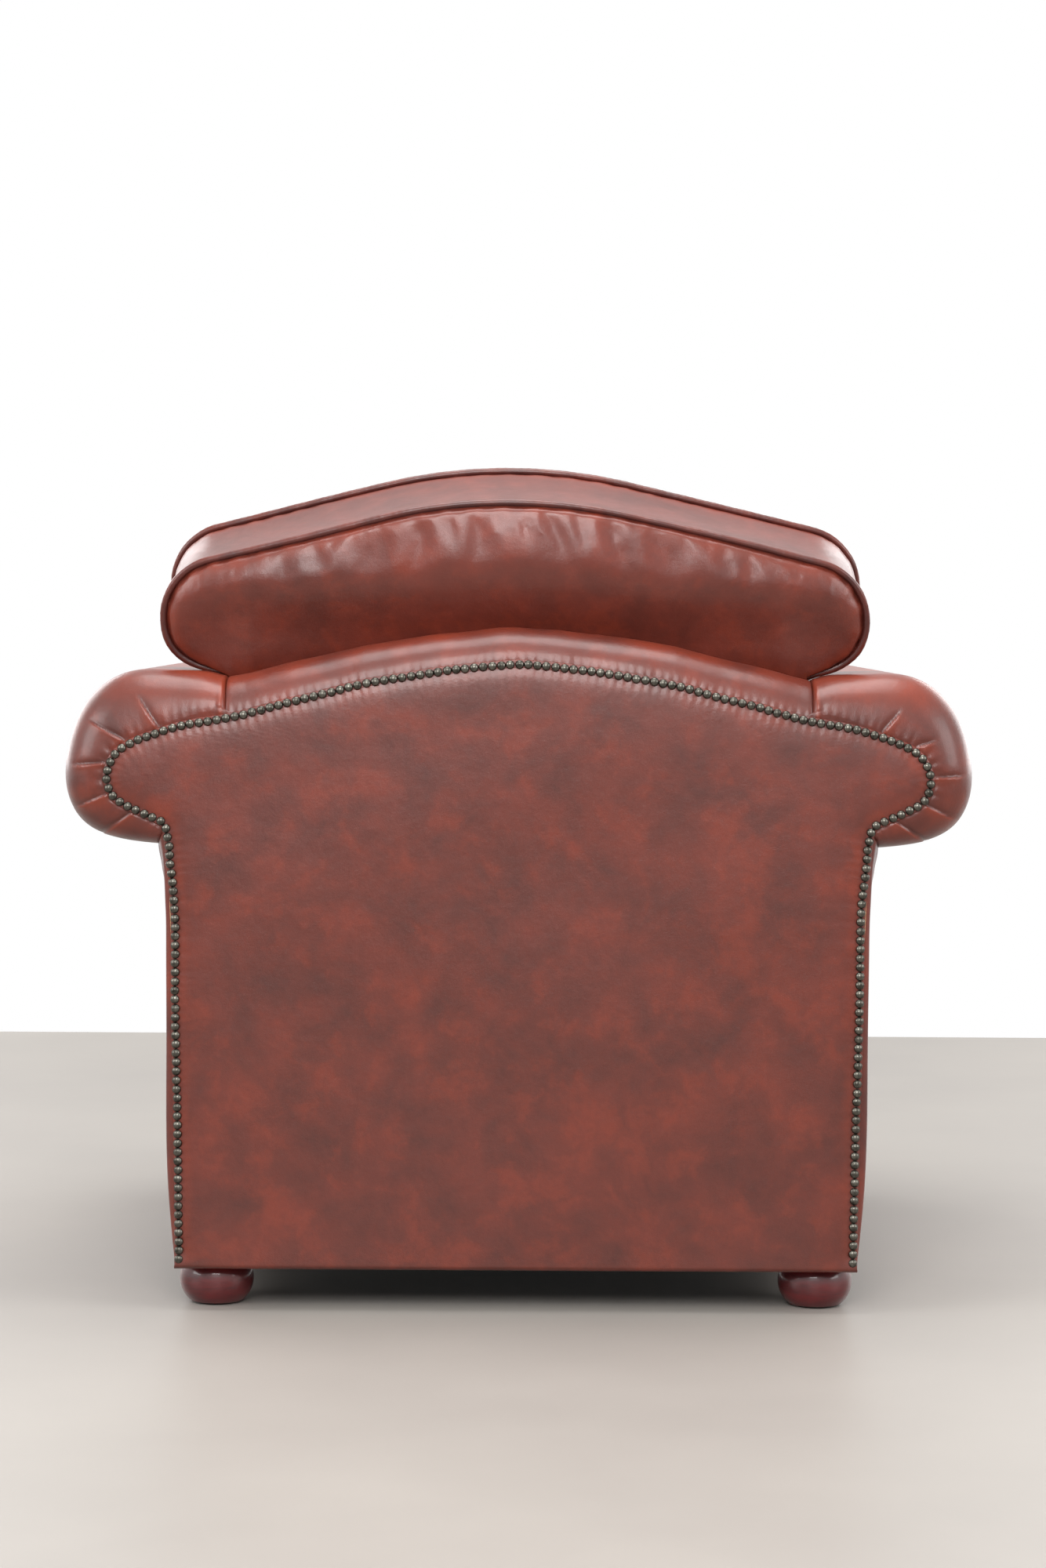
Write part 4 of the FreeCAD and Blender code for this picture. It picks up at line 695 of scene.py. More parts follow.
def nail_row(name, places, direction, seed):
    """A row of nails at places (x, y, z) in mm, facing along Y."""
    rng = np.random.default_rng(seed)
    head = bmesh.new()
    spun(head, dome_profile(), 14)
    bmesh.ops.recalc_face_normals(head, faces=head.faces)
    seed_mesh = bpy.data.meshes.new(name + "_head")
    head.to_mesh(seed_mesh)
    head.free()
    row = bmesh.new()
    for place in places:
        start = len(row.verts)
        row.from_mesh(seed_mesh)
        row.verts.ensure_lookup_table()
        tip = Matrix.Rotation(rng.uniform(-0.07, 0.07), 4, "X") @ Matrix.Rotation(rng.uniform(-0.07, 0.07), 4, "Y")
        shift = Vector((rng.uniform(-0.3, 0.3), 0, rng.uniform(-0.3, 0.3)))
        turn = Matrix.Rotation(-math.pi / 2 * direction, 4, "X")
        bmesh.ops.transform(row, matrix=Matrix.Translation((Vector(place) + shift) * MM) @ turn @ tip,
                            verts=row.verts[start:])
    mesh = bpy.data.meshes.new(name)
    row.to_mesh(mesh)
    row.free()
    bpy.data.meshes.remove(seed_mesh)
    return piece(name, mesh, nail_metal)


driven = [(x, 456.5, z) for x, z in nails] + [(side * 389.9, 456.5, 60.0) for side in (1, -1)]
back_row = nail_row("back_nail_heads", driven, 1, 3)
dress(back_row, "chair_frame", "antique_nail", "back_nails")

# %% [markdown]
# ## Scroll facings at the front
#
# The front of each arm is closed by a facing: leather over card, with nails all round. Its height decides its width,
# so the grid runs from the inner edge to the outer edge at each level.

# %% Facings
facing_outer = [scroll_point(u, v) for u, v in HEAD] + [scroll_point(.183, -.115), scroll_point(.159, -.279)]
facing_outer += [(scroll_point(u, 0)[0] + 4, v * ROLL_FOOT) for u, v in STEM[:3]]
facing_outer += [(scroll_point(STEM[3][0], 0)[0] + 4, 50)]
facing_inner = [(305, 50), (305, 300), (305, 560)] + [scroll_point(u, v) for u, v in HEAD_FRONT]
ring = facing_inner + facing_outer
ring_smooth = np.array(smooth(ring[2:14], even_places(ring[2:14], 2.5)))
ring_full = np.concatenate([np.linspace((305, 50), (305, 560), 200)[:-1], ring_smooth,
                            smooth(facing_outer[7:], even_places(facing_outer[7:], 2.5))[1:]])
top_at = int(ring_full[:, 1].argmax())
inner_side, outer_side = ring_full[:top_at + 1], ring_full[top_at:][::-1]
levels = np.interp(np.linspace(0, 1, 330), np.linspace(0, 1, len(outer_side)), outer_side[:, 1])
levels[0], levels[-1] = 50.0, ring_full[top_at, 1]
x_in = np.interp(levels, inner_side[:, 1], inner_side[:, 0])
x_out = np.interp(levels, outer_side[:, 1], outer_side[:, 0])


def facing(side):
    """The facing of one arm and its nails."""
    across = np.linspace(0, 1, 54)
    x = x_in[None, :] + (x_out - x_in)[None, :] * across[:, None]
    z = levels[None, :] * np.ones_like(x)
    loop = np.concatenate([ring_full, ring_full[:1]])
    spots = np.stack([x.ravel(), z.ravel()], axis=1)
    edge = np.full(len(spots), 1e9)
    for start in range(0, len(loop) - 1, 40):
        gap = np.linalg.norm(spots[:, None] - loop[None, start:start + 40], axis=2)
        edge = np.minimum(edge, gap.min(axis=1))
    edge = edge.reshape(x.shape)
    rise = 3.2 * np.sqrt(1 - (1 - np.minimum(edge, 3.5) / 3.5) ** 2) + 2.4 * (1 - np.exp(-np.maximum(edge - 7, 0) / 9))
    rise += 0.6 * np.cos(z / NAIL_PITCH * 2 * math.pi) * np.exp(-np.abs(edge - 13) / 6) * (z < 560)
    skin = np.stack([x * side, FRONT - rise, z], axis=2)
    # Lighter along the top of the scroll: rubbed wear, and a painted highlight; the band inside the nail row is a
    # painted highlight too.
    wear_and_painted_light = 0.35 * step(z, 640, 680) + 0.25 * np.exp(-((edge - 12) / 5) ** 2)
    name = "scroll_facing_left" if side > 0 else "scroll_facing_right"
    return hide(name, skin, leather, wear_and_painted_light, turned=side < 0)


for side, word in ((1, "left"), (-1, "right")):
    dress(facing(side), "chair_frame", "oxblood_leather", "arm_facing_" + word)
inset = outward(ring_full, -7)
inset = inset[np.linalg.norm(inset[:, None] - ring_full[None], axis=2).min(axis=1) > 6.4]
foot_line = np.stack([np.linspace(inset[-1, 0], inset[0, 0], 12), np.full(12, 57.0)], axis=1)
loop = np.concatenate([inset[inset[:, 1] > 57], foot_line])
length = np.r_[0, np.cumsum(np.linalg.norm(np.diff(loop, axis=0), axis=1))]
spots = np.linspace(0, length[-1], int(length[-1] / NAIL_PITCH) + 1)[:-1]
loop = np.stack([np.interp(spots, length, loop[:, 0]), np.interp(spots, length, loop[:, 1])], axis=1)
front_row = nail_row("facing_nail_heads", [(side * x, -453.6, z) for side in (1, -1) for x, z in loop], -1, 4)
dress(front_row, "chair_frame", "antique_nail", "facing_nails")

# %% [markdown]
# ## Outside arms, front border, deck and inside back
#
# These are the quiet panels, plain on the real chair too. The outside arm hangs from under the roll to the hem, and
# at the back it turns round the post and goes under the nails. The others are seen only when a cushion is lifted,
# but they are finished too.

# %% Outside arms
OUTSIDE = [(.21, 0), (.57, .0985), (.86, .21), (.985, .54), (1.02, .761), (1.2, .898), (1.85, 1)]


def outside_arm(side):
    """The outside of one arm, from the hem to the tuck under the roll."""
    base = np.array([(392 + u * 14, HEM + v * (ROLL_FOOT - HEM)) for u, v in OUTSIDE])
    run = smooth(base, even_places(base, 4.5))
    ends = np.linspace(0, math.pi / 2, 8)
    stations = [(FRONT + 7 - 7 * math.sin(a), 7 - 7 * math.cos(a)) for a in ends[::-1]]
    stations += [(y, 0.0) for y in np.linspace(FRONT + 7, BACK - 7, 180)[1:-1]]
    stations += [(BACK - 7 + 7 * math.sin(a), 7 - 7 * math.cos(a)) for a in ends]
    stations = [(FRONT - 0.1, 15.0)] + stations + [(BACK + 0.1, 15.0)]
    skin = np.zeros((len(run) + 2, len(stations), 3))
    for j, (y, inward) in enumerate(stations):
        gap = BACK - y if y > 0 else y - FRONT
        depth = min(max(gap, 0), END) / END
        share = 1 - math.sqrt(1 - (1 - depth) ** 2)
        rising = step(run[:, 1], 470, ROLL_FOOT)
        x = run[:, 0] - inward - 8 * share * rising
        z = run[:, 1] + (21 * share + 1) * rising
        skin[:len(run), j] = np.stack([x, np.full(len(run), y), z], axis=1)
        skin[len(run):, j] = [[x[-1] - 3, y, z[-1] + 4], [x[-1] - 8, y, z[-1] + 6]]
    y, z = skin[..., 1], skin[..., 2]
    middle = step(y, FRONT + 10, FRONT + 60) * (1 - step(y, BACK - 60, BACK - 10))
    lift = (0.8 * np.sin(y / 47 + z / 160) + 0.5 * np.sin(y / 23 - z / 75 + 1)) * middle
    crease = np.exp(-((y - (BACK - 30) + (z - 500) * 0.25) / 5) ** 2) * step(z, 455, 520) * (1 - step(z, 535, 545))
    skin += normals(skin) * (lift - 1.6 * crease)[..., None]
    hem_fold = np.clip(HEM + 5 - z, 0, 5)
    skin[..., 0] -= hem_fold * 0.5
    skin[..., 0] *= side
    wear_and_painted_light = 0.2 * np.sin(y / 60) * np.sin(z / 55) + 0.3 * crease
    name = "outside_arm_leather_left" if side > 0 else "outside_arm_leather_right"
    return hide(name, skin[::-1], leather, wear_and_painted_light[::-1], turned=side < 0)


for side, word in ((1, "left"), (-1, "right")):
    dress(outside_arm(side), "chair_frame", "oxblood_leather", "outside_arm_" + word, fill=0.5)

# %% [markdown]
# The rest are flat hides over thin padding: a grid between two edges, raised a few millimetres away from its rim.
# The two wings carry the inside back out behind the arms, where it would otherwise stop short.

# %% Flat panels
def flat_hide(name, corner, across, up, counts, bulge, finish, turned=False):
    """A flat panel from a corner along two edges, bulged in the middle by a height in mm."""
    s = np.linspace(0, 1, counts[0] + 1)[:, None, None]
    t = np.linspace(0, 1, counts[1] + 1)[None, :, None]
    skin = np.array(corner, float) + s * np.array(across, float) + t * np.array(up, float)
    near = np.minimum(np.minimum(s, 1 - s) * np.linalg.norm(across), np.minimum(t, 1 - t) * np.linalg.norm(up))
    skin = skin + normals(skin) * bulge * (1 - np.exp(-near / 14))
    return hide(name, skin, finish, 0.2 * (near[..., 0] < 12), turned=turned)


border = flat_hide("front_border_leather", (-305, -451.5, HEM), (610, 0, 0), (0, 0, 251), (150, 80), 4.3, leather)
skin_top = np.zeros((151, 14, 3))
for i, x in enumerate(np.linspace(-305, 305, 151)):
    bend = arc((-451.5, 299.6), (-449.5, 302.6), (-445, 303.2), 9)
    flat_run = np.concatenate([bend, np.linspace(bend[-1], (-424, 303.2), 6)[1:]])
    skin_top[i, :, 0], skin_top[i, :, 1], skin_top[i, :, 2] = x, flat_run[:, 0], flat_run[:, 1]
lip = hide("front_border_lip", skin_top, leather)
dress(border, "chair_frame", "oxblood_leather", "front_border", fill=0.4)
dress(lip, "chair_frame", "oxblood_leather")
deck = flat_hide("seat_deck_cloth", (-272, -425, 301.0), (544, 0, 0), (0, 640, 0), (90, 110), 2.0, black_cloth)
dress(deck, "chair_frame", "black_cloth", "seat_deck")
low_z, high_z, wing_z, wing_top = 296.0, 735.0, 664.0, 741.0
inside_back = flat_hide("inside_back_leather", (-272, pad_y(low_z) + 2, low_z), (544, 0, 0),
                        (0, pad_y(high_z) - pad_y(low_z), high_z - low_z), (90, 70), 3.0, leather)
dress(inside_back, "chair_frame", "oxblood_leather", "inside_back_pad", fill=0.5)
wings = flat_hide("inside_back_wings", (-337, pad_y(wing_z) + 2.5, wing_z), (674, 0, 0),
                  (0, pad_y(wing_top) - pad_y(wing_z), wing_top - wing_z), (80, 12), 2.0, leather)
dress(wings, "chair_frame", "oxblood_leather")

# %% [markdown]
# ## Cushions
#
# A boxed cushion is two faces and a border, sewn together with piping in both seams, and stuffed until the faces
# crown. It could be sculpted, but a real one gets its shape from pressure, so here the cover is laid as rings that
# run from the middle of one face, over the border, to the middle of the other. Then it is remeshed to even faces and
# inflated as cloth with its seams held. The folds at the corners come by themselves. Seams and buttons are added
# after the cloth, because a remesh would erase them.

# %% The cover of a boxed cushion
CROWN = [(1, 0), (.978, .26), (.945, .5), (.895, .7), (.82, .85), (.72, .94), (.58, .985), (.42, 1)]
SOLE = [(1, 0), (.99, .5), (.97, .85), (.94, 1)]


def rounded(corners, inset, counts=None, spacing=5.0):
    """A closed outline of lines and arcs, set in; the counts keep its points in step with another inset's."""
    points = np.array([c[:2] for c in corners], float)
    total = len(points)
    moved = []
    for i in range(total):
        first = points[i] - points[i - 1]
        second = points[(i + 1) % total] - points[i]
        first, second = first / np.linalg.norm(first), second / np.linalg.norm(second)
        turn = np.array([first[1] + second[1], -first[0] - second[0]])
        moved.append(points[i] + turn * inset / (turn @ turn / 2))
    bends = []
    for i in range(total):
        before, here, after = moved[i - 1], moved[i], moved[(i + 1) % total]
        first, second = before - here, after - here
        convex = (here - before)[0] * (after - here)[1] - (here - before)[1] * (after - here)[0] < 0
        first, second = first / np.linalg.norm(first), second / np.linalg.norm(second)
        radius = corners[i][2] - inset if convex else corners[i][2] + inset
        half = math.acos(np.clip(first @ second, -1, 1)) / 2
        bisector = (first + second) / np.linalg.norm(first + second)
        bends.append((here + first * radius / math.tan(half),
                      here + bisector * (radius / math.sin(half) - radius), here + second * radius / math.tan(half)))
    runs, made = [], []
    for i in range(total):
        (a, m, b), nxt = bends[i], bends[(i + 1) % total][0]
        n_arc = max(int(np.linalg.norm(b - a) / spacing), 4) if counts is None else counts[2 * i]
        n_line = max(int(np.linalg.norm(nxt - b) / spacing), 2) if counts is None else counts[2 * i + 1]
        made += [n_arc, n_line]
        runs.append(arc(a, m, b, n_arc + 1)[:-1])
        runs.append(b + (nxt - b) * np.linspace(0, 1, n_line + 1)[:-1, None])
    return np.concatenate(runs), made


def crown_rings(profile, count):
    """Shares of the outline and heights, from the middle of a face to its edge."""
    curve = smooth(profile, np.linspace(0, len(profile) - 1, count))[::-1]
    inner = np.linspace(0, curve[0, 0], 9)[:-1]
    return np.concatenate([np.stack([inner, np.ones(8)], axis=1), np.clip(curve, 0, 1)])


def cushion_rings(corners_at, middle, low, high, low_rise, high_rise, low_profile, high_profile, draw):
    """Places of a boxed cushion in its own plane: around it, and from one face's middle to the other's."""
    base, counts = rounded(corners_at((low + high) / 2), 0)
    middle = np.array(middle, float)
    rings = []
    edge, _ = rounded(corners_at(low), 0, counts)
    for share, height in crown_rings(low_profile, 22):
        flat = middle + (edge - middle) * share
        rings.append(np.column_stack([flat, np.full(len(flat), low - low_rise * height)]))
    for share in np.linspace(0, 1, 24)[1:-1]:
        level = low + (high - low) * share
        edge, _ = rounded(corners_at(level), draw * math.sin(math.pi * share), counts)
        rings.append(np.column_stack([edge, np.full(len(edge), level)]))
    edge, _ = rounded(corners_at(high), 0, counts)
    for share, height in crown_rings(high_profile, 22)[::-1]:
        flat = middle + (edge - middle) * share
        rings.append(np.column_stack([flat, np.full(len(flat), high + high_rise * height)]))
    skin = np.stack(rings, axis=1)
    return np.concatenate([skin, skin[:1]])


print("rings over a crowned face:", len(crown_rings(CROWN, 22)))

# %% [markdown]
# Piping is a cord wrapped in a strip of leather and sewn into the seam. A curve with a bevel would do, but the small
# gathers of the strip need a radius that changes along the cord, so it is laid as a hide of its own round the seam.

# %% Piping
def welt(name, corners, plane, place, finish):
    """Piping along a cushion's seam, with the small gathers of its wrapping."""
    path, _ = rounded(corners, 0, spacing=3.0)
    path = np.concatenate([path, path[:1]])
    along = np.gradient(path, axis=0)
    along[0] = along[-1] = path[1] - path[-2]
    along /= np.linalg.norm(along, axis=1, keepdims=True)
    out = np.stack([-along[:, 1], along[:, 0]], axis=1)
    turns = np.linspace(0, 2 * math.pi, 17)
    run = np.r_[0, np.cumsum(np.linalg.norm(np.diff(path, axis=0), axis=1))]
    whole = 2 * math.pi / run[-1]
    radius = 4.2 + 0.10 * np.sin(run * whole * round(run[-1] / 9)) + 0.12 * np.sin(run * whole * round(run[-1] / 37))
    skin = np.zeros((len(path), len(turns), 3))
    skin[..., :2] = path[:, None] + out[:, None] * (radius[:, None] * np.cos(turns))[..., None]
    skin[..., 2] = plane + radius[:, None] * np.sin(turns)
    # Lighter on the piping's outer side and darker on its inner side: rubbed wear with a painted highlight and painted
    # shade, and small gather marks along the cord.
    wear_and_painted_light = 0.35 * np.cos(turns)[None, :] * np.ones((len(path), 1)) + 0.15 * np.sin(run * whole * 40)[:, None]
    made = hide(name, place(skin), finish, wear_and_painted_light)
    work = bmesh.new()
    work.from_mesh(made.data)
    bmesh.ops.recalc_face_normals(work, faces=work.faces)
    work.to_mesh(made.data)
    work.free()
    return made

# %% [markdown]
# Stuffing works on any closed cover. The remesh gives faces of one size, because cloth folds along the edges of its
# faces. Then pressure pushes the cover out for twenty frames, and a cap keeps it inside the room that the chair has.

# %% Stuffing a cover
def apply_modifiers(made):
    """Makes a piece's modifiers part of its mesh, and returns the mesh."""
    graph = bpy.context.evaluated_depsgraph_get()
    mesh = bpy.data.meshes.new_from_object(made.evaluated_get(graph))
    made.modifiers.clear()
    old, made.data = made.data, mesh
    bpy.data.meshes.remove(old)
    return mesh


def places_of(mesh):
    """Vertex places of a mesh in millimetres."""
    flat = np.empty(len(mesh.vertices) * 3)
    mesh.vertices.foreach_get("co", flat)
    return flat.reshape(-1, 3) / MM


def stuff(made, held, cap, voxel, pressure, slack):
    """Remeshes a cover, inflates it as cloth with its seams held, and keeps the movement under a cap in mm."""
    remesh = made.modifiers.new("even_faces", "REMESH")
    remesh.mode, remesh.voxel_size, remesh.use_smooth_shade = "VOXEL", voxel * MM, True
    mesh = apply_modifiers(made)
    before = places_of(mesh)
    group = made.vertex_groups.new(name="held")
    weights = held(before)
    for level in range(1, 11):
        chosen = np.flatnonzero(np.rint(weights * 10) == level)
        if len(chosen):
            group.add(chosen.tolist(), level / 10, "REPLACE")
    cloth = made.modifiers.new("stuffing", "CLOTH")
    cloth.settings.quality = 5
    cloth.settings.mass = 0.4
    cloth.settings.tension_stiffness = cloth.settings.compression_stiffness = 18
    cloth.settings.shear_stiffness = 6
    cloth.settings.bending_stiffness = 1.2
    cloth.settings.use_pressure = True
    cloth.settings.uniform_pressure_force = pressure
    cloth.settings.vertex_group_mass = "held"
    cloth.settings.shrink_min = slack
    cloth.settings.effector_weights.gravity = 0
    cloth.point_cache.frame_end = 20
    for number in range(1, cloth.point_cache.frame_end + 1):
        bpy.context.scene.frame_set(number)
    graph = bpy.context.evaluated_depsgraph_get()
    after = places_of(made.evaluated_get(graph).data)
    made.modifiers.clear()
    made.vertex_groups.clear()
    bpy.context.scene.frame_set(1)
    moved = after - before
    length = np.linalg.norm(moved, axis=1, keepdims=True)
    capped = moved * np.minimum(1, cap / np.maximum(length, 1e-6))
    mesh.vertices.foreach_set("co", ((before + capped) * MM).ravel())
    mesh.update()
    print(f"{made.name}: the cloth moved up to {length.max():.1f} mm, capped at {cap} mm")
    finer = made.modifiers.new("finer", "SUBSURF")
    finer.levels = finer.render_levels = 1
    apply_modifiers(made)


def finish_cover(made, finish, places, wear_and_painted_light):
    """Writes final places, and the tone of rubbing and painted light, to a stuffed cover."""
    mesh = made.data
    mesh.vertices.foreach_set("co", (places * MM).ravel())
    layer = mesh.attributes.get("wear_and_painted_light") or mesh.attributes.new("wear_and_painted_light", "FLOAT", "POINT")
    layer.data.foreach_set("value", wear_and_painted_light)
    mesh.materials.clear()
    mesh.materials.append(finish)
    mesh.polygons.foreach_set("use_smooth", [True] * len(mesh.polygons))
    mesh.update()

# %% [markdown]
# What a needle does shows near a seam: the leather dips beside the stitches and gathers in small waves. Both depend
# on how far a vertex is from the seam and on how far along the seam it lies, so these are measured first.

# %% Seams
def seam_distance(places, corners_at, planes):
    """For places in a cushion's plane: distance to the nearest seam, and the way along it."""
    best = np.full(len(places), 1e9)
    way = np.zeros(len(places))
    for plane in planes:
        line, _ = rounded(corners_at(plane), 0, spacing=4.0)
        run = np.r_[0, np.cumsum(np.linalg.norm(np.diff(line, axis=0), axis=1))]
        for start in range(0, len(places), 6000):
            part = places[start:start + 6000]
            gap = np.linalg.norm(part[:, None, :2] - line[None], axis=2)
            nearest = gap.argmin(axis=1)
            away = np.hypot(gap[np.arange(len(part)), nearest], part[:, 2] - plane)
            closer = away < best[start:start + 6000]
            best[start:start + 6000] = np.where(closer, away, best[start:start + 6000])
            way[start:start + 6000] = np.where(closer, run[nearest], way[start:start + 6000])
    return best, way


def gathers(seam, way, drift, swell, shift):
    """Height of the small gathers along a seam, and their tone of painted highlights and shade; the three lengths keep
    them from repeating.
    """
    puckers = np.sin(way / 5.2 + 1.3 * np.sin(way / drift)) * (0.5 + 0.5 * np.sin(way / swell + shift))
    height = 0.9 * puckers * np.exp(-seam / 13) * (seam > 4) - 2.2 * np.exp(-((seam - 5.5) / 3.5) ** 2)
    # Painted highlights on the crests of the puckers and painted shade in their troughs, a painted highlight on the
    # swell beside the seam, and painted shade in the dip at the seam.
    wear_and_painted_light = 0.35 * puckers * np.exp(-seam / 10) + 0.25 * np.exp(-((seam - 14) / 9) ** 2)
    return height, wear_and_painted_light - 0.35 * np.exp(-(seam / 6) ** 2)


def mesh_normals(mesh):
    """Vertex normals of a mesh as a table."""
    flat = np.empty(len(mesh.vertices) * 3)
    mesh.vertex_normals.foreach_get("vector", flat)
    return flat.reshape(-1, 3)

# %% [markdown]
# The back cushion leans at 17 degrees on the inside back. Its lower part goes between the arms, and its two ears lie
# over them, so its outline is a T. It is modelled in its own plane, with x across, s up the slope and t forward from
# the rear seam, and then tilted into place.
#
# Each cushion has a zip in its border, the seat's at the rear and the back's underneath, where nobody sees it. The
# stuffing would swallow a zip's tape, so the leather is drawn in behind it.

# %% Room for the zips
def open_for_zip(places, tape, axis, outer, flat):
    """Lays the border of a cover flat, and draws it in behind its zip's tape; outer is 1 or -1 along the axis."""
    corners = places_of(frame["nodes"][tape].data)
    low, high = corners.min(axis=0), corners.max(axis=0)
    away = np.maximum(low - places, places - high).clip(0)
    away[:, axis] = 0
    far = np.linalg.norm(away, axis=1)
    behind = (low[axis] - 1.2) if outer > 0 else (high[axis] + 1.2)
    limit = flat + (behind - flat) * (1 - step(far, 1.5, 11))
    beyond = (places[:, axis] - limit) * outer
    near = beyond < 30
    places[:, axis] = np.where((beyond > 0) & near, limit, places[:, axis])
    return places

# %% The back cushion's own plane
BACK_THICK = 140
BUTTON_DOWN, ROW_PITCH, COLUMN_PITCH = 110, 115, 130


def up_slope(z, plane):
    """Place up the cushion's slope of a height in the chair, in one of the cushion's planes."""
    return (z - CUSHION_TOP_Z - plane * math.sin(TILT)) / math.cos(TILT)


def back_corners(plane):
    """Corners of the back cushion with their radii."""
    waist, ear, shoulder, peak = (up_slope(z, 0) for z in (606, 745, 856, 954.4))
    fall = math.atan2(peak - shoulder, 417)
    half = [(264, up_slope(460, plane), 22), (264, waist, 40), (316, ear, 24), (417, ear, 57), (417, shoulder, 73)]
    crest = (0, peak, peak / (1 / math.cos(fall) - 1))
    return [(-x, s, r) for x, s, r in half] + [crest] + half[::-1]


def lean(local):
    """Places in the cushion's plane to places in the chair."""
    x, s, t = local[..., 0], local[..., 1], local[..., 2]
    return np.stack([x, CUSHION_TOP_Y + s * math.sin(TILT) - t * math.cos(TILT),
                     CUSHION_TOP_Z + s * math.cos(TILT) + t * math.sin(TILT)], axis=-1)


def unlean(world):
    """Places in the chair to places in the cushion's plane."""
    y, z = world[..., 1] - CUSHION_TOP_Y, world[..., 2] - CUSHION_TOP_Z
    return np.stack([world[..., 0], y * math.sin(TILT) + z * math.cos(TILT),
                     -y * math.cos(TILT) + z * math.sin(TILT)], axis=-1)


upper_roll = smooth([(272 + u * 253, 540 + v * 200) for u, v in ROLL], np.linspace(0, 5, 200))


def settle(world):
    """Lets the cushion's ears down on to the arms, and leans its crest to where it has been left."""
    x, y, z = world[..., 0], world[..., 1], world[..., 2]
    gap = 740.8 - np.interp(np.abs(x), upper_roll[:, 0], upper_roll[:, 1])
    down = np.clip(gap + 1.5, 0, 13) * step(np.abs(x), 300, 324) * (1 - step(z, 745, 815)) * step(z, 690, 730)
    over = 12 * step(z, 880, 940) * (1 - step(np.abs(x), 150, 400)) + 11 * step(-x, 180, 410) * step(z, 690, 760)
    return np.stack([x + over, y, z - down], axis=-1)


print("gap under the ears that the cushion closes, mm:", round(float(740.8 - upper_roll[:, 1].max()), 1))

# %% [markdown]
# Here the cover is stuffed. Then the gathers of the seams and the diamonds round the buttons are drawn in, and at last
# the cushion is let down: its ears on to the arms, and its rear face against the back roll.

# %% Back cushion
rings = cushion_rings(back_corners, (0, up_slope(762, 0)), 0, BACK_THICK, 29, 27, CROWN, CROWN, 4)
back_cushion = hide("back_cushion_leather", lean(rings), cushion_leather)


def held_back(world):
    """The seams of the back cushion are held, and its border is held nearly as firmly."""
    local = unlean(world)
    seams = 1 - step(seam_distance(local, back_corners, (0, BACK_THICK))[0], 4, 18)
    return np.maximum(seams, 0.8 * ((local[:, 2] > 1) & (local[:, 2] < BACK_THICK - 1)))


stuff(back_cushion, held_back, 12, voxel=7.0, pressure=1.4, slack=-0.006)
local = unlean(places_of(back_cushion.data))
direction = unlean(mesh_normals(back_cushion.data) + np.array([0, CUSHION_TOP_Y, CUSHION_TOP_Z]))
seam, way = seam_distance(local, back_corners, (0, BACK_THICK))
lift, tone = gathers(seam, way, 41, 67, 1)
front_share = step(local[:, 2], BACK_THICK, 152)
row_at = (-BUTTON_DOWN - local[:, 1]) / ROW_PITCH
cells = local[:, 0] / COLUMN_PITCH
left, right = (np.abs(np.cos(math.pi * (cells + side * row_at / 2))) for side in (-1, 1))
tufted = front_share * step(row_at, -0.75, -0.35) * (1 - step(row_at, 3.35, 3.7))
tufted *= 1 - step(np.abs(local[:, 0]), 225, 262)
depth = 9.5 * (1 - 0.65 * (left * right) ** 0.45 - 0.35 * np.maximum(left, right) ** 0.6)
for row in range(4):
    columns = 4 if row % 2 == 0 else 3
    for column in range(columns):
        bx, bs = (column - (columns - 1) / 2) * COLUMN_PITCH, -BUTTON_DOWN - row * ROW_PITCH
        depth = depth + 5.0 * np.exp(-((local[:, 0] - bx) ** 2 + (local[:, 1] - bs) ** 2) / 2 / 14 ** 2)
lift -= tufted * depth
local = local + direction * lift[:, None]
floor_t = -12 - 22 * step(local[:, 1], up_slope(775, 0), up_slope(885, 0))
local[:, 2] = np.where(local[:, 2] < floor_t + 12, floor_t + 12 - 12 * np.tanh((floor_t + 12 - local[:, 2]) / 12),
                       local[:, 2])
world = settle(lean(local))
low_nails = camel(world[:, 0])
roll_top = low_nails + 42 + 5 * np.abs(world[:, 0]) / MITRE
ratio = np.clip((world[:, 2] - (low_nails - 10)) / (roll_top - low_nails + 10), 0, 1)
roll_front = pad_y(low_nails - 10) + (407 - pad_y(low_nails - 10)) * (1 - np.sqrt(1 - ratio ** 2)) ** 0.9
inside_roll = (world[:, 2] < roll_top + 1) & (world[:, 1] > roll_front - 1.5) & (np.abs(world[:, 0]) < MITRE)
world[:, 1] = np.where(inside_roll, roll_front - 1.5, world[:, 1])
sole = (np.abs(world[:, 0]) < 245) & (world[:, 2] < 480)
world[sole] = open_for_zip(world[sole], "back_zip", 2, -1, 459.2)
# Darker in the deep folds round the buttons: dark wax, and painted shade.
tone -= 0.4 * tufted * step(depth, 5, 11)
finish_cover(back_cushion, cushion_leather, world, tone)
dress(back_cushion, "back_cushion", "oxblood_leather", "back_cushion_cover", "back_cushion_core", fill=0.85)
for plane, word in ((0, "rear"), (BACK_THICK, "front")):
    cord = welt("back_cushion_welt_" + word, back_corners(plane), plane, lambda skin: settle(lean(skin)), welt_leather)
    dress(cord, "back_cushion", "oxblood_leather", *(["back_cushion_piping"] if plane else []))

# %% [markdown]
# The seat cushion is a plain box with rounded corners. Its underside lies flat on the deck, and its top crowns
# towards the middle, where people sit.

# %% Seat cushion
SEAT_LOW, SEAT_HIGH = 312, 425


def seat_corners(plane):
    """Corners of the seat cushion with their radii, the same in every plane."""
    return [(-267, -436, 40), (-267, 225, 40), (267, 225, 40), (267, -436, 40)]


rings = cushion_rings(seat_corners, (0, 60), SEAT_LOW, SEAT_HIGH, 8.4, 26, SOLE, CROWN, 4)
seat_cushion = hide("seat_cushion_leather", rings, cushion_leather)


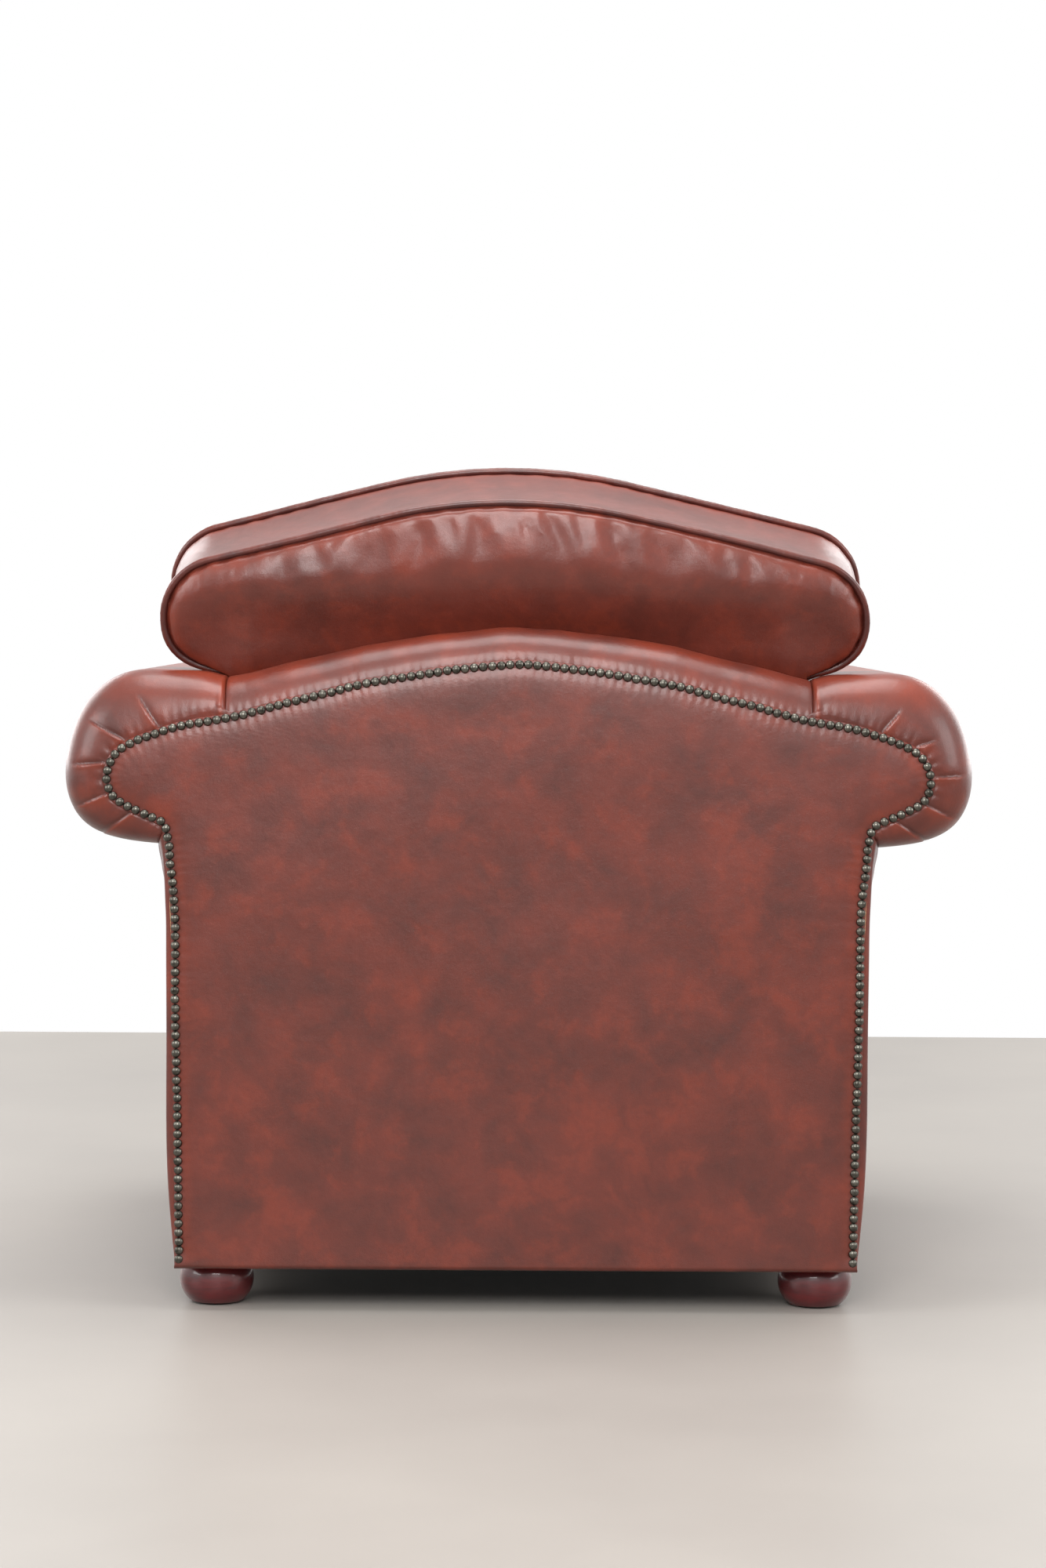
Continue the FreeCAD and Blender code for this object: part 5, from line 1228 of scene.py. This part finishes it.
def held_seat(world):
    """The seams of the seat cushion are held, and its border is held nearly as firmly."""
    seams = 1 - step(seam_distance(world, seat_corners, (SEAT_LOW, SEAT_HIGH))[0], 4, 18)
    return np.maximum(seams, 0.7 * ((world[:, 2] > SEAT_LOW + 2) & (world[:, 2] < SEAT_HIGH - 2)))


stuff(seat_cushion, held_seat, 9, voxel=9.0, pressure=0.45, slack=-0.002)
world = places_of(seat_cushion.data)
seam, way = seam_distance(world, seat_corners, (SEAT_LOW, SEAT_HIGH))
lift, tone = gathers(seam, way, 43, 71, 0)
world = world + mesh_normals(seat_cushion.data) * lift[:, None]
world[:, 0] = np.clip(world[:, 0], -271, 271)
border = (np.abs(world[:, 0]) < 235) & (world[:, 1] > 200) & (np.abs(world[:, 2] - (SEAT_LOW + SEAT_HIGH) / 2) < 48)
world[border] = open_for_zip(world[border], "seat_zip", 1, 1, 223.0)
world[:, 1] = np.minimum(world[:, 1], 228)
world[:, 2] = np.clip(world[:, 2], 303.4, 458.5)
finish_cover(seat_cushion, cushion_leather, world, tone)
dress(seat_cushion, "seat_cushion", "oxblood_leather", "seat_cushion_cover", "seat_cushion_core", fill=0.8)
for plane, word in ((SEAT_LOW, "low"), (SEAT_HIGH, "high")):
    cord = welt("seat_cushion_welt_" + word, seat_corners(plane), plane, lambda skin: skin, welt_leather)
    dress(cord, "seat_cushion", "oxblood_leather", *(["seat_cushion_piping"] if plane == SEAT_HIGH else []))

# %% [markdown]
# ## Floor, light and camera
#
# The chair stands on a pale floor in a white room. The full white of the world is seen only by camera, mirror and
# glass rays, and all else gets a weaker fill, so the background doesn't light the chair. Six large soft lamps do
# that: a tall window at each side, two more at the front corners, a ceiling light, and a skylight behind the camera,
# which draws the sheen on the cushion and the back.

# %% Floor
def plane_piece(name, x0, x1, y0, y1, finish):
    """A flat rectangle on the floor."""
    work = bmesh.new()
    bmesh.ops.create_grid(work, x_segments=1, y_segments=1, size=1.0)
    for vert in work.verts:
        vert.co = ((x0 + x1) / 2 + vert.co.x * (x1 - x0) / 2, (y0 + y1) / 2 + vert.co.y * (y1 - y0) / 2, 0)
    mesh = bpy.data.meshes.new(name)
    work.to_mesh(mesh)
    work.free()
    return piece(name, mesh, finish)


material, tree = new_material("sealed_concrete")
place = add(tree, "ShaderNodeTexCoord").outputs["Object"]
patches = add(tree, "ShaderNodeTexNoise", Vector=place, Scale=1.1, Detail=5.0, Roughness=0.55)
shade = add(tree, "ShaderNodeValToRGB", stops=[(0.35, "#9d9791"), (0.7, "#aaa49d")], Fac=patches.outputs["Fac"])
rough = add(tree, "ShaderNodeMapRange", Value=patches.outputs["Fac"], _3=0.38, _4=0.52)
shader = add(tree, "ShaderNodeBsdfPrincipled", Base_Color=shade.outputs[0], Roughness=rough.outputs[0], IOR=1.45)
add(tree, "ShaderNodeOutputMaterial", Surface=shader.outputs[0])
floor = plane_piece("studio_floor", -6, 6, -2.3, 9, material)

print("floor from y", -2.3, "to", 9, "m")

# %% A white room
world_setting = bpy.data.worlds.new("white_room")
bpy.context.scene.world = world_setting
world_setting.use_nodes = True
tree = world_setting.node_tree
tree.nodes.clear()
rays = add(tree, "ShaderNodeLightPath")
seen = add(tree, "ShaderNodeMath", {"operation": "MAXIMUM"}, _0=rays.outputs["Is Camera Ray"],
           _1=rays.outputs["Is Glossy Ray"])
seen = add(tree, "ShaderNodeMath", {"operation": "MAXIMUM"}, _0=seen.outputs[0],
           _1=rays.outputs["Is Transmission Ray"])
plain = add(tree, "ShaderNodeBackground", Color=linear("#ffffff"), Strength=0.30)
bright = add(tree, "ShaderNodeBackground", Color=linear("#ffffff"), Strength=1.0)
mix = add(tree, "ShaderNodeMixShader", _0=seen.outputs[0], _1=plain.outputs[0], _2=bright.outputs[0])
output = add(tree, "ShaderNodeOutputWorld", Surface=mix.outputs[0])

# %% Lamps
def lamp(name, place, target, size, power):
    """A soft square lamp that faces a target."""
    data = bpy.data.lights.new(name, "AREA")
    data.shape, data.size, data.energy = "SQUARE", size, power
    made = bpy.data.objects.new(name, data)
    bpy.context.scene.collection.objects.link(made)
    made.location = place
    made.rotation_euler = (Vector(target) - Vector(place)).to_track_quat("-Z", "Y").to_euler()
    return made


lamp("left_window", (3.2, 1.8, 1.8), (0, 0, 0.5), 1.8, 56)
lamp("right_window", (-3.2, 1.8, 1.8), (0, 0, 0.5), 1.8, 50)
lamp("ceiling", (0.0, 0.3, 3.2), (0, 0.1, 0.5), 2.0, 76)
lamp("skylight", (0.2, 3.6, 2.3), (0, 0.2, 0.7), 1.6, 95)
lamp("far_left_window", (2.5, -2.4, 1.7), (0, 0, 0.6), 2.4, 62)
lamp("far_right_window", (-2.5, -2.4, 1.7), (0, 0, 0.6), 2.4, 62)

# %% [markdown]
# The camera stands behind the chair at the height of its cushion, as in the photograph, and looks slightly down. Its
# lens and its place were solved from the size of the back and from how the floor line falls.

# %% Camera
camera = bpy.data.cameras.new("photo_camera")
camera.sensor_fit, camera.sensor_height, camera.lens = "VERTICAL", 36.0, 83.74
viewer = bpy.data.objects.new("photo_camera", camera)
bpy.context.scene.collection.objects.link(viewer)
pitch, roll = math.radians(2.76), math.radians(0.35)
back = Vector((0, math.cos(pitch), math.sin(pitch)))
right = Vector((-1, 0, 0))
up = back.cross(right)
right, up = right * math.cos(roll) + up * math.sin(roll), up * math.cos(roll) - right * math.sin(roll)
viewer.matrix_world = Matrix(((right.x, up.x, back.x, -0.005), (right.y, up.y, back.y, 0.456 + 4.19),
                              (right.z, up.z, back.z, 0.815), (0, 0, 0, 1)))
bpy.context.scene.camera = viewer
bpy.context.scene.view_settings.view_transform = "Standard"
print("camera at", [round(part, 3) for part in viewer.matrix_world.translation], "lens", camera.lens)
